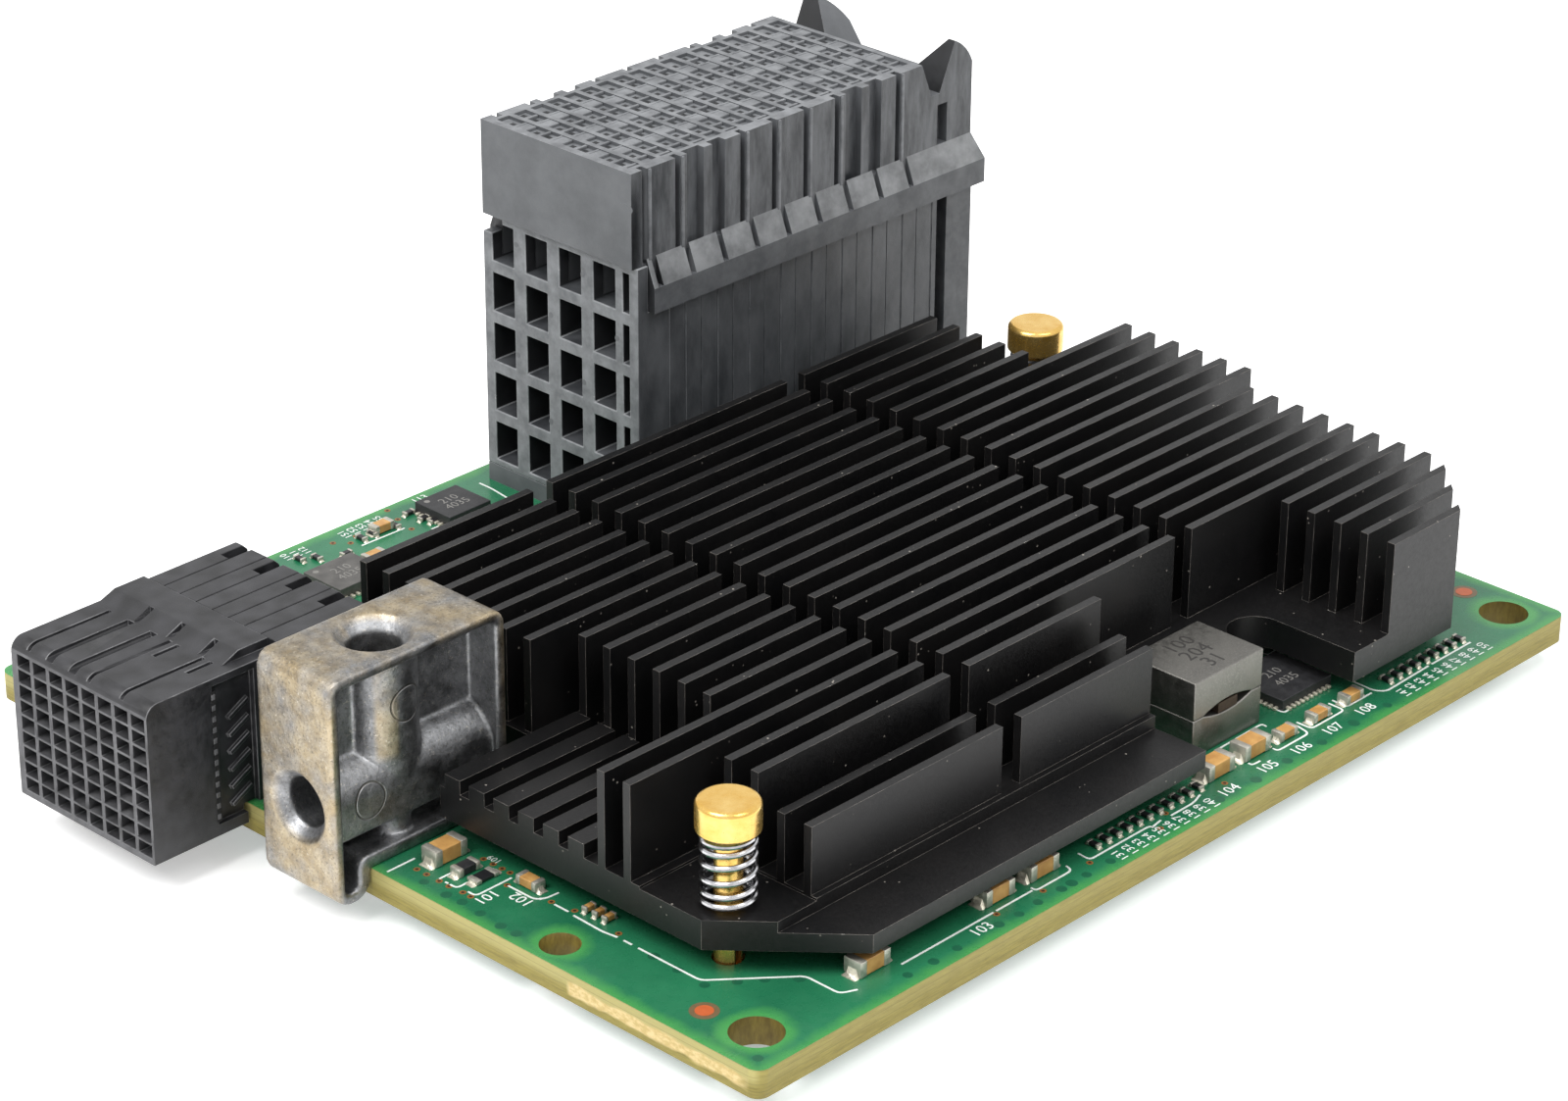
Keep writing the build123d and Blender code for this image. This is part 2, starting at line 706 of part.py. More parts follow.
with BuildPart() as edge_housing:
    with BuildSketch(upright(edge_back)) as nose_side:
        with BuildLine():
            Polyline(
                (edge_left, edge_bottom),
                (-board_edge_clearance, edge_bottom),
                (-board_edge_clearance, board_top),
                (edge_collar_end, board_top),
                (edge_collar_end, edge_nose_top),
                (edge_left, edge_nose_top),
                close=True,
            )
        make_face()
        fillet(nose_side.vertices().group_by(Axis.Y)[-1].sort_by(Axis.X)[0], edge_nose_radius)
    extrude(amount=edge_nose_width)
    # Ridged ramp that rises to the collar
    with BuildSketch(upright(edge_back - edge_collar_far_inset)):
        with BuildLine():
            Polyline(
                (edge_nose_end, edge_nose_top),
                (edge_collar_end, edge_nose_top),
                (edge_collar_end, edge_body_top),
                (edge_ramp_end, edge_body_top),
                close=True,
            )
        make_face()
    extrude(amount=edge_nose_width - edge_collar_inset - edge_collar_far_inset)
    with BuildSketch(level(edge_nose_top)):
        for column in range(2, edge_columns, 2):
            notch_side = edge_front + column * edge_wafer_pitch
            pane(edge_nose_end, edge_ramp_end, notch_side - ramp_notch, notch_side)
    extrude(amount=edge_body_top - edge_nose_top, mode=Mode.SUBTRACT)
    # Contact cells in the nose
    with BuildSketch(sideways(edge_left)):
        with Locations((cells_middle_y, edge_cells_middle_z)):
            with GridLocations(edge_cell_pitch_y, edge_cell_pitch_z, edge_columns, edge_rows):
                Rectangle(edge_cell_width, edge_cell_height)
    extrude(amount=edge_cell_depth, mode=Mode.SUBTRACT)
    # Polarising grooves along the nose
    with BuildSketch(level(edge_nose_top)):
        for columns, groove_width, groove_start in (
            (long_groove_columns, narrow_groove, edge_left),
            (wide_groove_columns, wide_groove, edge_left),
            (short_groove_columns, narrow_groove, edge_nose_end - short_groove_length),
        ):
            for column in columns:
                groove_y = edge_front + column * edge_cell_pitch_y
                pane(groove_start, edge_nose_end, groove_y, groove_y + groove_width)
    extrude(amount=-groove_depth, mode=Mode.SUBTRACT)
    # Side pocket with slanted louvres, and notches along the seam in front of it
    with BuildSketch(upright(edge_front)):
        pane(pocket_left, pocket_right, side_pocket_bottom, pocket_top)
    extrude(amount=-side_pocket_depth, mode=Mode.SUBTRACT)
    with BuildSketch(upright(edge_front + side_pocket_depth)):
        for louvre in range(louvre_count):
            with Locations((pocket_middle, louvre_bottom + louvre * louvre_pitch)):
                Rectangle(louvre_length, louvre_thickness, rotation=louvre_tilt)
    extrude(amount=louvre_height)
    with BuildSketch(upright(edge_front)):
        for notch in range(seam_notch_count):
            with Locations((pocket_left, side_pocket_bottom + (notch + 0.5) * seam_notch_pitch)):
                Rectangle(seam_notch_width, seam_notch_height)
    extrude(amount=-side_pocket_depth, mode=Mode.SUBTRACT)
edge_housing.part.label = "edge_housing"
export_step(edge_housing.part, "parts/edge_housing.step")

# Edge connector contact wafers, side by side behind the collar
for column in range(edge_columns):
    wafer_low = edge_front + column * edge_wafer_pitch + edge_wafer_gap / 2
    wafer_high = wafer_low + edge_wafer_pitch - edge_wafer_gap
    with BuildPart() as edge_wafer:
        with BuildSketch(upright(wafer_high)):
            with BuildLine():
                Polyline(
                    (edge_collar_end, board_top),
                    (edge_wafer_end, board_top),
                    (edge_wafer_end, edge_body_top - edge_wafer_chamfer),
                    (edge_wafer_end - edge_wafer_chamfer, edge_body_top),
                    (edge_collar_end, edge_body_top),
                    close=True,
                )
            make_face()
        extrude(amount=wafer_high - wafer_low)
        if column % 2 == 1:
            with BuildSketch(level(edge_body_top)):
                pane(edge_wafer_end - edge_slot_length, edge_wafer_end,
                     wafer_low, wafer_low + edge_slot_width)
            extrude(amount=-edge_slot_depth, mode=Mode.SUBTRACT)
    edge_wafer.part.label = f"edge_wafer_{column + 1}"
    export_step(edge_wafer.part, f"parts/edge_wafer_{column + 1}.step")

with BuildPart() as edge_contact_tails:
    with BuildSketch(level(-tail_below_board)):
        with Locations(*tail_places):
            Rectangle(tail_size, tail_size)
    extrude(amount=tail_below_board + board_top)
edge_contact_tails.part.label = "edge_contact_tails"
export_step(edge_contact_tails.part, "parts/edge_contact_tails.step")

# Mezzanine connector base plate with its two board pegs
with BuildPart() as mezzanine_base:
    with BuildSketch(level(board_top)):
        pane(mezz_left, mezz_right, mezz_front, mezz_back)
    extrude(amount=mezz_base_thickness)
    with BuildSketch(level(board_top)):
        with Locations(*peg_places):
            Circle(peg_diameter / 2)
    extrude(amount=-(board_thickness + peg_below_board))
mezzanine_base.part.label = "mezzanine_base"
export_step(mezzanine_base.part, "parts/mezzanine_base.step")

# End cover with rows of windows; its thin upper lip stands beside the collar
window_heights = [
    mezz_cover_top - window_top_margin - window_height / 2 - row * window_pitch_z
    for row in range(window_rows)
]
window_places = [
    mezz_far - window_side_margin - window_width / 2 - column * window_pitch_y
    for column in range(window_columns)
]

with BuildPart() as mezzanine_end_cover:
    with BuildSketch(upright(mezz_back)):
        pane(mezz_left, mezz_left + mezz_cover_thickness, mezz_base_top, mezz_collar_bottom)
        pane(mezz_left, mezz_left + mezz_cover_lip, mezz_collar_bottom, mezz_cover_top)
    extrude(amount=mezz_width)
    with BuildSketch(sideways(mezz_left)):
        with Locations(*[(place, height) for place in window_places for height in window_heights]):
            Rectangle(window_width, window_height)
        with Locations(*[(mezz_front + narrow_window_inset, height) for height in window_heights]):
            Rectangle(narrow_window_width, window_height)
    extrude(amount=window_depth, mode=Mode.SUBTRACT)
    with BuildSketch(sideways(mezz_left)):
        pane(mezz_back - cover_notch_width, mezz_back,
             mezz_cover_top - cover_notch_height, mezz_cover_top)
    extrude(amount=mezz_cover_lip, mode=Mode.SUBTRACT)
mezzanine_end_cover.part.label = "mezzanine_end_cover"
export_step(mezzanine_end_cover.part, "parts/mezzanine_end_cover.step")

# Upright contact wafers between the end cover and the end post
wafer_count = int((stack_end - first_seam) / mezz_wafer_pitch) + 1
for wafer in range(wafer_count):
    wafer_left = first_seam + wafer * mezz_wafer_pitch
    wafer_right = min(wafer_left + mezz_wafer_pitch - mezz_wafer_gap, stack_end)
    groove_x = wafer_left + mezz_wafer_pitch / 2
    with BuildPart() as mezzanine_wafer:
        with BuildSketch(level(mezz_base_top)):
            pane(wafer_left, wafer_right, mezz_near, mezz_far)
            for side_y in (mezz_near, mezz_far):
                with Locations((groove_x, side_y)):
                    Rectangle(mezz_wafer_groove, 2 * mezz_wafer_groove, mode=Mode.SUBTRACT)
        extrude(amount=mezz_collar_bottom - mezz_base_top)
    mezzanine_wafer.part.label = f"mezzanine_wafer_{wafer + 1:02d}"
    export_step(mezzanine_wafer.part, f"parts/mezzanine_wafer_{wafer + 1:02d}.step")

with BuildPart() as mezzanine_end_post:
    with BuildSketch(level(mezz_base_top)):
        pane(mezz_right - mezz_post_width, mezz_right, mezz_near, mezz_far)
    extrude(amount=mezz_collar_bottom - mezz_base_top)
mezzanine_end_post.part.label = "mezzanine_end_post"
export_step(mezzanine_end_post.part, "parts/mezzanine_end_post.step")

# Shroud: sloped collar, tower with contact slots, and a horned end wall behind a V gap
horn_inner = tower_right - horn_thickness
gap_floor = mezz_top - horn_gap_depth
gap_floor_right = horn_inner - horn_gap_far_slope
gap_floor_left = gap_floor_right - horn_gap_floor_width
gap_left = gap_floor_left - horn_gap_near_slope
horn_top = mezz_top + mezz_horn_rise
collar_right = mezz_right + mezz_collar_overhang
slot_row_places = [mezz_left + slot_field_margin + row * slot_pitch_x for row in range(slot_rows)]
slot_places = [
    (slot_row_places[row], mezz_near + slot_field_inset + (place + row % 2 / 2) * slot_pitch_y)
    for row in range(slot_rows)
    for place in range(slots_per_row)
]
groove_pitches = int((gap_left - tower_left) / mezz_wafer_pitch)
groove_starts = [
    tower_left + side_groove_start + groove * mezz_wafer_pitch for groove in range(groove_pitches)
]

with BuildPart() as mezzanine_shroud:
    with BuildSketch(sideways(mezz_left + mezz_cover_lip)):
        with BuildLine():
            Polyline(
                (mezz_near - mezz_collar_proud, mezz_collar_bottom),
                (mezz_far + mezz_collar_proud, mezz_collar_bottom),
                (mezz_far + mezz_collar_proud, collar_slope_bottom),
                (mezz_far, collar_top),
                (mezz_near, collar_top),
                (mezz_near - mezz_collar_proud, collar_slope_bottom),
                close=True,
            )
        make_face()
    extrude(amount=collar_right - mezz_left - mezz_cover_lip)
    # The collar slopes at its end too, and narrow slots run down its long sides
    with BuildSketch(upright(mezz_far + mezz_collar_proud)):
        with BuildLine():
            Polyline(
                (tower_right, collar_top),
                (collar_right, collar_slope_bottom),
                (collar_right, collar_top),
                close=True,
            )
        make_face()
    extrude(amount=mezz_far - mezz_near + 2 * mezz_collar_proud, mode=Mode.SUBTRACT)
    with BuildSketch(level(collar_slope_bottom)):
        for groove_left in groove_starts:
            slot_left = groove_left + collar_slot_offset
            for low_y in (mezz_near - mezz_collar_proud, mezz_far):
                pane(slot_left, slot_left + collar_slot_width, low_y, low_y + mezz_collar_proud)
    extrude(amount=mezz_collar_slope, mode=Mode.SUBTRACT)
    # The cover's top row of windows goes on into the collar behind its lip
    with BuildSketch(sideways(mezz_left + mezz_cover_lip)):
        with Locations(*[(place, window_heights[0]) for place in window_places]):
            Rectangle(window_width, window_height)
    extrude(amount=window_depth - mezz_cover_lip, mode=Mode.SUBTRACT)
    with BuildSketch(upright(mezz_far)):
        with BuildLine():
            Polyline(
                (horn_inner, horn_top),
                (gap_floor_right, gap_floor),
                (gap_floor_left, gap_floor),
                (gap_left, mezz_top),
                (tower_left, mezz_top),
                (tower_left, mezz_cover_top),
                (tower_right, mezz_cover_top),
                (tower_right, horn_top - horn_shoulder),
            )
            ThreePointArc(
                (tower_right, horn_top - horn_shoulder),
                (tower_right - horn_shoulder_width, horn_top - horn_shoulder / 2),
                (horn_inner, horn_top),
            )
        make_face()
    extrude(amount=mezz_far - mezz_near)
    # The end wall dips between its two horns
    with BuildSketch(sideways(gap_floor_right)):
        with BuildLine():
            Polyline(
                (mezz_near + horn_root, horn_top),
                (mezz_near + horn_root + horn_reach, gap_floor),
                (mezz_far - horn_root - horn_reach, gap_floor),
                (mezz_far - horn_root - horn_root, horn_top),
                close=True,
            )
        make_face()
    extrude(amount=tower_right - gap_floor_right, mode=Mode.SUBTRACT)
    # Contact slots in shallow trenches, every other row shifted by half a pitch
    with BuildSketch(level(mezz_top)):
        with Locations(*[(row_x, (mezz_near + mezz_far) / 2) for row_x in slot_row_places]):
            Rectangle(trench_width, mezz_far - mezz_near - slot_field_inset)
    extrude(amount=-trench_depth, mode=Mode.SUBTRACT)
    with BuildSketch(level(mezz_top)):
        with Locations(*slot_places):
            Rectangle(slot_width, slot_length)
    extrude(amount=-slot_depth, mode=Mode.SUBTRACT)
    # Upright grooves in the long sides: narrow ones, and wide pairs at two places
    with BuildSketch(level(mezz_top)):
        for groove, groove_left in enumerate(groove_starts):
            spans = [(groove_left, side_groove_width)]
            if groove in wide_groove_places:
                spans = [
                    (groove_left - wide_groove_offset, wide_groove_width),
                    (groove_left + second_groove_offset, second_groove_width),
                ]
            for low_x, width in spans:
                pane(low_x, low_x + width, mezz_near, mezz_near + side_groove_depth)
                pane(low_x, low_x + width, mezz_far - side_groove_depth, mezz_far)
    extrude(amount=collar_top - side_groove_run_out - mezz_top, mode=Mode.SUBTRACT)
    # Recess in the near side below the V gap
    with BuildSketch(upright(mezz_near)):
        pane(tower_right - recess_setback, tower_right - recess_setback + recess_width,
             collar_top, collar_top + recess_height)
    extrude(amount=-recess_depth, mode=Mode.SUBTRACT)
mezzanine_shroud.part.label = "mezzanine_shroud"
export_step(mezzanine_shroud.part, "parts/mezzanine_shroud.step")

# Guide block: a cast strap that hooks over the board's edge, closed by a web through its
# middle that carries an upright and a level boss
guide_inner_left = guide_left + guide_wall
guide_inner_right = guide_right - guide_wall
guide_inner_top = guide_height - guide_wall
hook_right = -guide_edge_gap
hook_inner = hook_right - guide_foot
foot_top = board_top + guide_foot
boss_radius = guide_boss_diameter / 2

with BuildPart() as guide_block:
    with BuildSketch(upright(guide_back)) as guide_outline:
        with BuildLine():
            Polyline(
                (guide_left, guide_hook_bottom),
                (guide_left, guide_height),
                (guide_right, guide_height),
                (guide_right, board_top),
                (hook_right, board_top),
                (hook_right, guide_hook_bottom),
                close=True,
            )
        make_face()
        fillet(guide_outline.vertices().group_by(Axis.Y)[-1], guide_corner)
        fillet(guide_outline.vertices().group_by(Axis.Y)[0], guide_hook_corner)
    extrude(amount=guide_depth)
    with BuildSketch(upright(guide_back)) as guide_cavity:
        with BuildLine():
            Polyline(
                (guide_inner_left, guide_hook_bottom + guide_wall),
                (guide_inner_left, guide_inner_top),
                (guide_inner_right, guide_inner_top),
                (guide_inner_right, foot_top),
                (hook_inner, foot_top),
                (hook_inner, guide_hook_bottom + guide_wall),
                close=True,
            )
        make_face()
        fillet(guide_cavity.vertices().group_by(Axis.Y)[-1], guide_inner_corner)
        fillet(guide_cavity.vertices().group_by(Axis.Y)[0], guide_inner_corner)
        fillet(guide_cavity.vertices().sort_by_distance((hook_inner, foot_top))[0], guide_foot_corner)
    extrude(amount=guide_depth, mode=Mode.SUBTRACT)
    # Web, level boss with a flat foot, upright boss under the top bore, and screw post
    with BuildSketch(upright(guide_bore_y + guide_web_thickness / 2)):
        pane(guide_inner_left, guide_inner_right, guide_web_bottom, guide_inner_top)
    extrude(amount=guide_web_thickness)
    with BuildSketch(sideways(guide_inner_left)):
        with Locations((guide_bore_y, front_bore_z)):
            Circle(boss_radius)
        pane(guide_bore_y - boss_radius, guide_bore_y + boss_radius, guide_web_bottom, front_bore_z)
    extrude(amount=guide_inner_right - guide_inner_left)
    with BuildSketch(level(front_bore_z)):
        with Locations((guide_bore_x, guide_bore_y)):
            Circle(boss_radius)
    extrude(amount=guide_inner_top - front_bore_z)
    with BuildSketch(level(foot_top)):
        with Locations(guide_screw_place):
            Circle(guide_post_diameter / 2)
    extrude(amount=guide_web_bottom - foot_top)
    with BuildSketch(level(board_top)):
        with Locations(guide_screw_place):
            Circle(guide_screw_diameter / 2 + guide_screw_clearance)
    extrude(amount=guide_screw_depth, mode=Mode.SUBTRACT)
    # Bores with their countersunk rims
    with BuildSketch(level(guide_bore_floor)):
        with Locations((guide_bore_x, guide_bore_y)):
            Circle(guide_bore_diameter / 2)
    extrude(amount=guide_height, mode=Mode.SUBTRACT)
    with BuildSketch(level(guide_height)):
        with Locations((guide_bore_x, guide_bore_y)):
            Circle(guide_rim_diameter / 2)
    extrude(amount=-(guide_rim_diameter - guide_bore_diameter) / 2, taper=45, mode=Mode.SUBTRACT)
    with BuildSketch(sideways(guide_left)):
        with Locations((guide_bore_y, front_bore_z)):
            Circle(front_bore_diameter / 2)
    extrude(amount=front_bore_depth, mode=Mode.SUBTRACT)
    with BuildSketch(sideways(guide_left)):
        with Locations((guide_bore_y, front_bore_z)):
            Circle(front_rim_diameter / 2)
    extrude(amount=(front_rim_diameter - front_bore_diameter) / 2, taper=45, mode=Mode.SUBTRACT)
guide_block.part.label = "guide_block"
export_step(guide_block.part, "parts/guide_block.step")

with BuildPart() as guide_screw:
    with BuildSketch(level(0)):
        with Locations(guide_screw_place):
            Circle(guide_screw_head_diameter / 2)
    extrude(amount=-guide_screw_head_height)
    with BuildSketch(level(0)):
        with Locations(guide_screw_place):
            Circle(guide_screw_diameter / 2)
    extrude(amount=board_top + guide_screw_depth - guide_screw_clearance)
guide_screw.part.label = "guide_screw"
export_step(guide_screw.part, "parts/guide_screw.step")

# Small plastic foot under the back left corner
with BuildPart() as support_foot:
    with BuildSketch(level(-foot_height)):
        pane(foot_inset, foot_inset + foot_length,
             board_width - foot_to_back - foot_width, board_width - foot_to_back)
    extrude(amount=foot_height)
support_foot.part.label = "support_foot"
export_step(support_foot.part, "parts/support_foot.step")
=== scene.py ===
import bmesh
import bpy
import functools
import random

from math import cos, pi, radians, sin
from mathutils import Matrix, Vector


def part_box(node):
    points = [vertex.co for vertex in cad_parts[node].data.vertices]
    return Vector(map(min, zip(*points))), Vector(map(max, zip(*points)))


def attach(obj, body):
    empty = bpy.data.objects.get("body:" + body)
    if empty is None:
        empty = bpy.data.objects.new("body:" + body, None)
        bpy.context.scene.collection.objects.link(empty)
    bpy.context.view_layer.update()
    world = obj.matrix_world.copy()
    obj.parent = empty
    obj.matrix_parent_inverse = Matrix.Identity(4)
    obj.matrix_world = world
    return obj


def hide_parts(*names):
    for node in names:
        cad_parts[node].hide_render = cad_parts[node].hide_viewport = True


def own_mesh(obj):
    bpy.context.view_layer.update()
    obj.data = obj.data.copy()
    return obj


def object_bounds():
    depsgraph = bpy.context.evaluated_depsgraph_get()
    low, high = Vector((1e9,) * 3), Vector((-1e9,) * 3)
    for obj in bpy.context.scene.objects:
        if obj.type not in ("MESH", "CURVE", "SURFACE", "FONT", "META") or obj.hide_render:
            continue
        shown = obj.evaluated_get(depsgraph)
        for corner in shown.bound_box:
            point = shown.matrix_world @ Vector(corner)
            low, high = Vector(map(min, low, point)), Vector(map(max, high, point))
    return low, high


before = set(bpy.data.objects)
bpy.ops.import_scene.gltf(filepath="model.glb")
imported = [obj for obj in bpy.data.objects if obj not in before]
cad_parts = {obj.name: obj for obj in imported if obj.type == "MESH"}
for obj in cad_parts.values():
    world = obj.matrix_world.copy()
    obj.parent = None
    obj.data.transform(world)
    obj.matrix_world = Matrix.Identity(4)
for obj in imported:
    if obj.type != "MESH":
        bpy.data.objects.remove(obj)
cad_low, cad_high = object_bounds()

# Lengths below are in millimetres and become metres through MM. Plan positions are
# measured from the board's front left corner, and heights from its underside.
MM = 0.001
board_low, board_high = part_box("circuit_board")
board_top = board_high.z / MM
CORNER = Vector((board_low.x, board_low.y, 0))


def spot(x, y, z):
    """Point of the frame from a plan position and a height."""
    return Vector((board_low.x + x * MM, board_low.y + y * MM, z * MM))


def plan(point):
    """Plan position and height of a point of the frame."""
    return (point.x - board_low.x) / MM, (point.y - board_low.y) / MM, point.z / MM


@functools.cache
def span(node):
    """Lowest and highest plan position and height of a CAD node."""
    low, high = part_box(node)
    return (low - CORNER) / MM, (high - CORNER) / MM


# Colours and node materials


def tone(colour, share=1.0):
    """Linear colour from the usual 0 to 255 values, times a share."""
    values = [value / 255 for value in colour]
    return [share * (v / 12.92 if v <= 0.04045 else ((v + 0.055) / 1.055) ** 2.4) for v in values] + [1.0]


class Nodes:
    """Short calls that build a node tree."""

    def __init__(self, tree):
        self.tree = tree

    def node(self, kind, **settings):
        made = self.tree.nodes.new("ShaderNode" + kind)
        for key, value in settings.items():
            setattr(made, key, value)
        return made

    def feed(self, socket, source):
        """Links a socket to its source, or gives it a plain value or the colour of a triple."""
        if isinstance(source, bpy.types.NodeSocket):
            self.tree.links.new(source, socket)
        else:
            socket.default_value = tone(source) if isinstance(source, tuple) else source

    def component(self, source, letter):
        parts = self.node("SeparateXYZ")
        self.feed(parts.inputs[0], source)
        return parts.outputs[letter]

    def remap(self, source, low, high, out_low=0.0, out_high=1.0, **settings):
        made = self.node("MapRange", **settings)
        self.feed(made.inputs["Value"], source)
        for key, value in (("From Min", low), ("From Max", high), ("To Min", out_low), ("To Max", out_high)):
            made.inputs[key].default_value = value
        return made.outputs["Result"]

    def sums(self, operation, first, second):
        made = self.node("Math", operation=operation)
        self.feed(made.inputs[0], first)
        self.feed(made.inputs[1], second)
        return made.outputs[0]

    plus = functools.partialmethod(sums, "ADD")
    minus = functools.partialmethod(sums, "SUBTRACT")
    times = functools.partialmethod(sums, "MULTIPLY")
    least = functools.partialmethod(sums, "MINIMUM")
    most = functools.partialmethod(sums, "MAXIMUM")

    def apart(self, first, second):
        """Distance between two values."""
        return self.sums("ABSOLUTE", self.minus(first, second), 0.0)

    def seen_share(self):
        """1 for rays that look at a surface straight, in a mirror or through glass."""
        path = self.node("LightPath")
        kinds = ("Is Camera Ray", "Is Glossy Ray", "Is Transmission Ray")
        return functools.reduce(self.most, [path.outputs[kind] for kind in kinds])


# Sockets of a Mix node that belong to colours
MIX_SHARE, MIX_FIRST, MIX_SECOND, MIX_RESULT = 0, 6, 7, 2


class Finish(Nodes):
    """One node material, put together from the steps that all the finishes share."""

    def __init__(self, name, colour, roughness, metallic=0.0, specular=0.5):
        self.made = bpy.data.materials.new(name)
        self.made.use_nodes = True
        super().__init__(self.made.node_tree)
        self.shader = self.tree.nodes["Principled BSDF"].inputs
        self.feed(self.shader["Base Color"], colour)
        for key, value in (("Roughness", roughness), ("Metallic", metallic), ("Specular IOR Level", specular)):
            self.shader[key].default_value = value
        self.places = self.node("TexCoord").outputs["Object"]
        self.relief_end = None

    def texture(self, kind, size, stretch, **values):
        """Outputs of a texture whose features are about size millimetres apart."""
        mapping = self.node("Mapping")
        mapping.inputs["Scale"].default_value = stretch
        self.feed(mapping.inputs["Vector"], self.places)
        made = self.node(kind)
        self.feed(made.inputs["Vector"], mapping.outputs[0])
        made.inputs["Scale"].default_value = 1 / (size * MM)
        for key, value in values.items():
            made.inputs[key].default_value = value
        return made.outputs

    def grain(self, size, detail=4.0, roughness=0.6, stretch=(1, 1, 1)):
        """Cloudy noise."""
        return self.texture("TexNoise", size, stretch, Detail=detail, Roughness=roughness)["Fac"]

    def cells(self, size):
        """Distance to scattered points."""
        return self.texture("TexVoronoi", size, (1, 1, 1))["Distance"]

    def mix(self, share, first, second):
        made = self.node("Mix", data_type="RGBA")
        for place, source in ((MIX_SHARE, share), (MIX_FIRST, first), (MIX_SECOND, second)):
            self.feed(made.inputs[place], source)
        return made.outputs[MIX_RESULT]

    def cloud(self, size, low, high, first, second, **grain):
        """Patches of two colours, which turn where the noise is between two levels."""
        return self.mix(self.remap(self.grain(size, **grain), low, high), first, second)

    def fade(self, distance, empty, full, peak=1.0):
        """Share that goes from 0 to its peak between two distances in millimetres."""
        return self.remap(distance, empty * MM, full * MM, 0.0, peak)

    def wander(self, source, reach):
        """Noise turned into an uneven distance of up to reach millimetres each way."""
        return self.remap(source, 0.3, 0.7, -reach * MM, reach * MM)

    def axis(self, letter):
        return self.component(self.places, letter)

    def away(self, place):
        """Distance to a point of the frame."""
        offset = self.node("VectorMath", operation="DISTANCE")
        self.feed(offset.inputs[0], self.places)
        offset.inputs[1].default_value = place
        return offset.outputs["Value"]

    def paint(self, source):
        self.feed(self.shader["Base Color"], source)

    def gloss(self, size, low, high, detail=4.0):
        """Roughness that drifts between two values."""
        self.feed(self.shader["Roughness"], self.remap(self.grain(size, detail), 0.3, 0.7, low, high))

    def relief(self, height, depth):
        """Bump of the given depth in millimetres, added to what is there."""
        made = self.node("Bump")
        made.inputs["Strength"].default_value = 1.0
        made.inputs["Distance"].default_value = depth * MM
        self.feed(made.inputs["Height"], height)
        if self.relief_end:
            self.feed(made.inputs["Normal"], self.relief_end)
        self.relief_end = made.outputs["Normal"]
        self.feed(self.shader["Normal"], self.relief_end)


# Plan position and radius of the holes whose rims are bare
MOUNT_HOLES = ((3.56, 3.6, 1.93), (87.36, 3.6, 1.93), (2.2, 20.8, 1.48))


def from_edge(look, letter):
    """Distance from the board's left edge, for X, or from its front edge, for Y."""
    return look.minus(look.axis(letter), getattr(board_low, letter.lower()))


def near_rim(look, reach):
    """Share that rises to 1 at the board's outline and at its bare holes."""
    distances = []
    for letter, extent in (("X", board_high.x - board_low.x), ("Y", board_high.y - board_low.y)):
        low = from_edge(look, letter)
        distances += [low, look.minus(extent, low)]
    for x, y, radius in MOUNT_HOLES:
        distances.append(look.minus(look.away(spot(x, y, board_top)), radius * MM))
    nearest = functools.reduce(look.least, distances)
    return look.fade(look.plus(nearest, look.wander(look.grain(2.5), 0.3)), reach, 0.2)


def solder_mask():
    look = Finish("solder_mask", (34, 104, 70), 0.3)
    inner = look.cloud(9, 0.35, 0.65, (27, 94, 64), (37, 110, 75))
    look.paint(look.mix(near_rim(look, 1.15), inner, (60, 133, 70)))
    look.gloss(0.8, 0.22, 0.36)
    look.relief(look.grain(0.5), 0.006)
    return look.made


BREAK_OFF_END = 18.0
TORN_HEIGHT = 1.0
LAYER = 0.27


def laminate():
    """Bare glass and resin edge, with the pale rough streak where the panel was broken off."""
    look = Finish("laminate_edge", (128, 121, 68), 0.6)
    streak = look.grain(0.5, 6, 0.7, stretch=(0.35, 0.35, 4))
    height = look.axis("Z")
    left_side = look.fade(from_edge(look, "X"), 0.4, 0.1)
    body = look.mix(look.remap(streak, 0.35, 0.65), (122, 110, 46), (150, 138, 66))
    pale = look.times(look.fade(height, 0.8, 1.5, 0.6), look.remap(left_side, 0, 1, 0.3, 1.0))
    body = look.mix(pale, body, (186, 178, 118))
    lines = look.fade(look.sums("PINGPONG", height, LAYER * MM), 0.04, 0.0)
    body = look.mix(look.times(lines, 0.5), body, (92, 82, 38))
    ragged = look.wander(look.grain(1.2, 3, 0.5, stretch=(1, 0.5, 1)), 0.2)
    torn = look.fade(look.plus(look.apart(height, TORN_HEIGHT * MM), ragged), 0.55, 0.36)
    along = look.plus(from_edge(look, "Y"), ragged)
    ends = look.times(look.fade(along, BREAK_OFF_END, BREAK_OFF_END - 0.4), look.fade(along, 0.8, 2.0))
    share = look.times(look.times(torn, ends), left_side)
    fibres = look.cloud(0.3, 0.42, 0.58, (190, 166, 104), (214, 192, 138),
                        detail=5, roughness=0.7, stretch=(1, 0.5, 1))
    look.paint(look.mix(share, body, fibres))
    look.relief(streak, 0.03)
    return look.made


def hole_wall():
    look = Finish("hole_wall", (104, 88, 30), 0.55)
    streak = look.grain(0.4, 5, 0.7, stretch=(1, 1, 0.3))
    look.paint(look.mix(look.remap(streak, 0.3, 0.7), (84, 68, 20), (128, 112, 48)))
    look.relief(streak, 0.03)
    return look.made


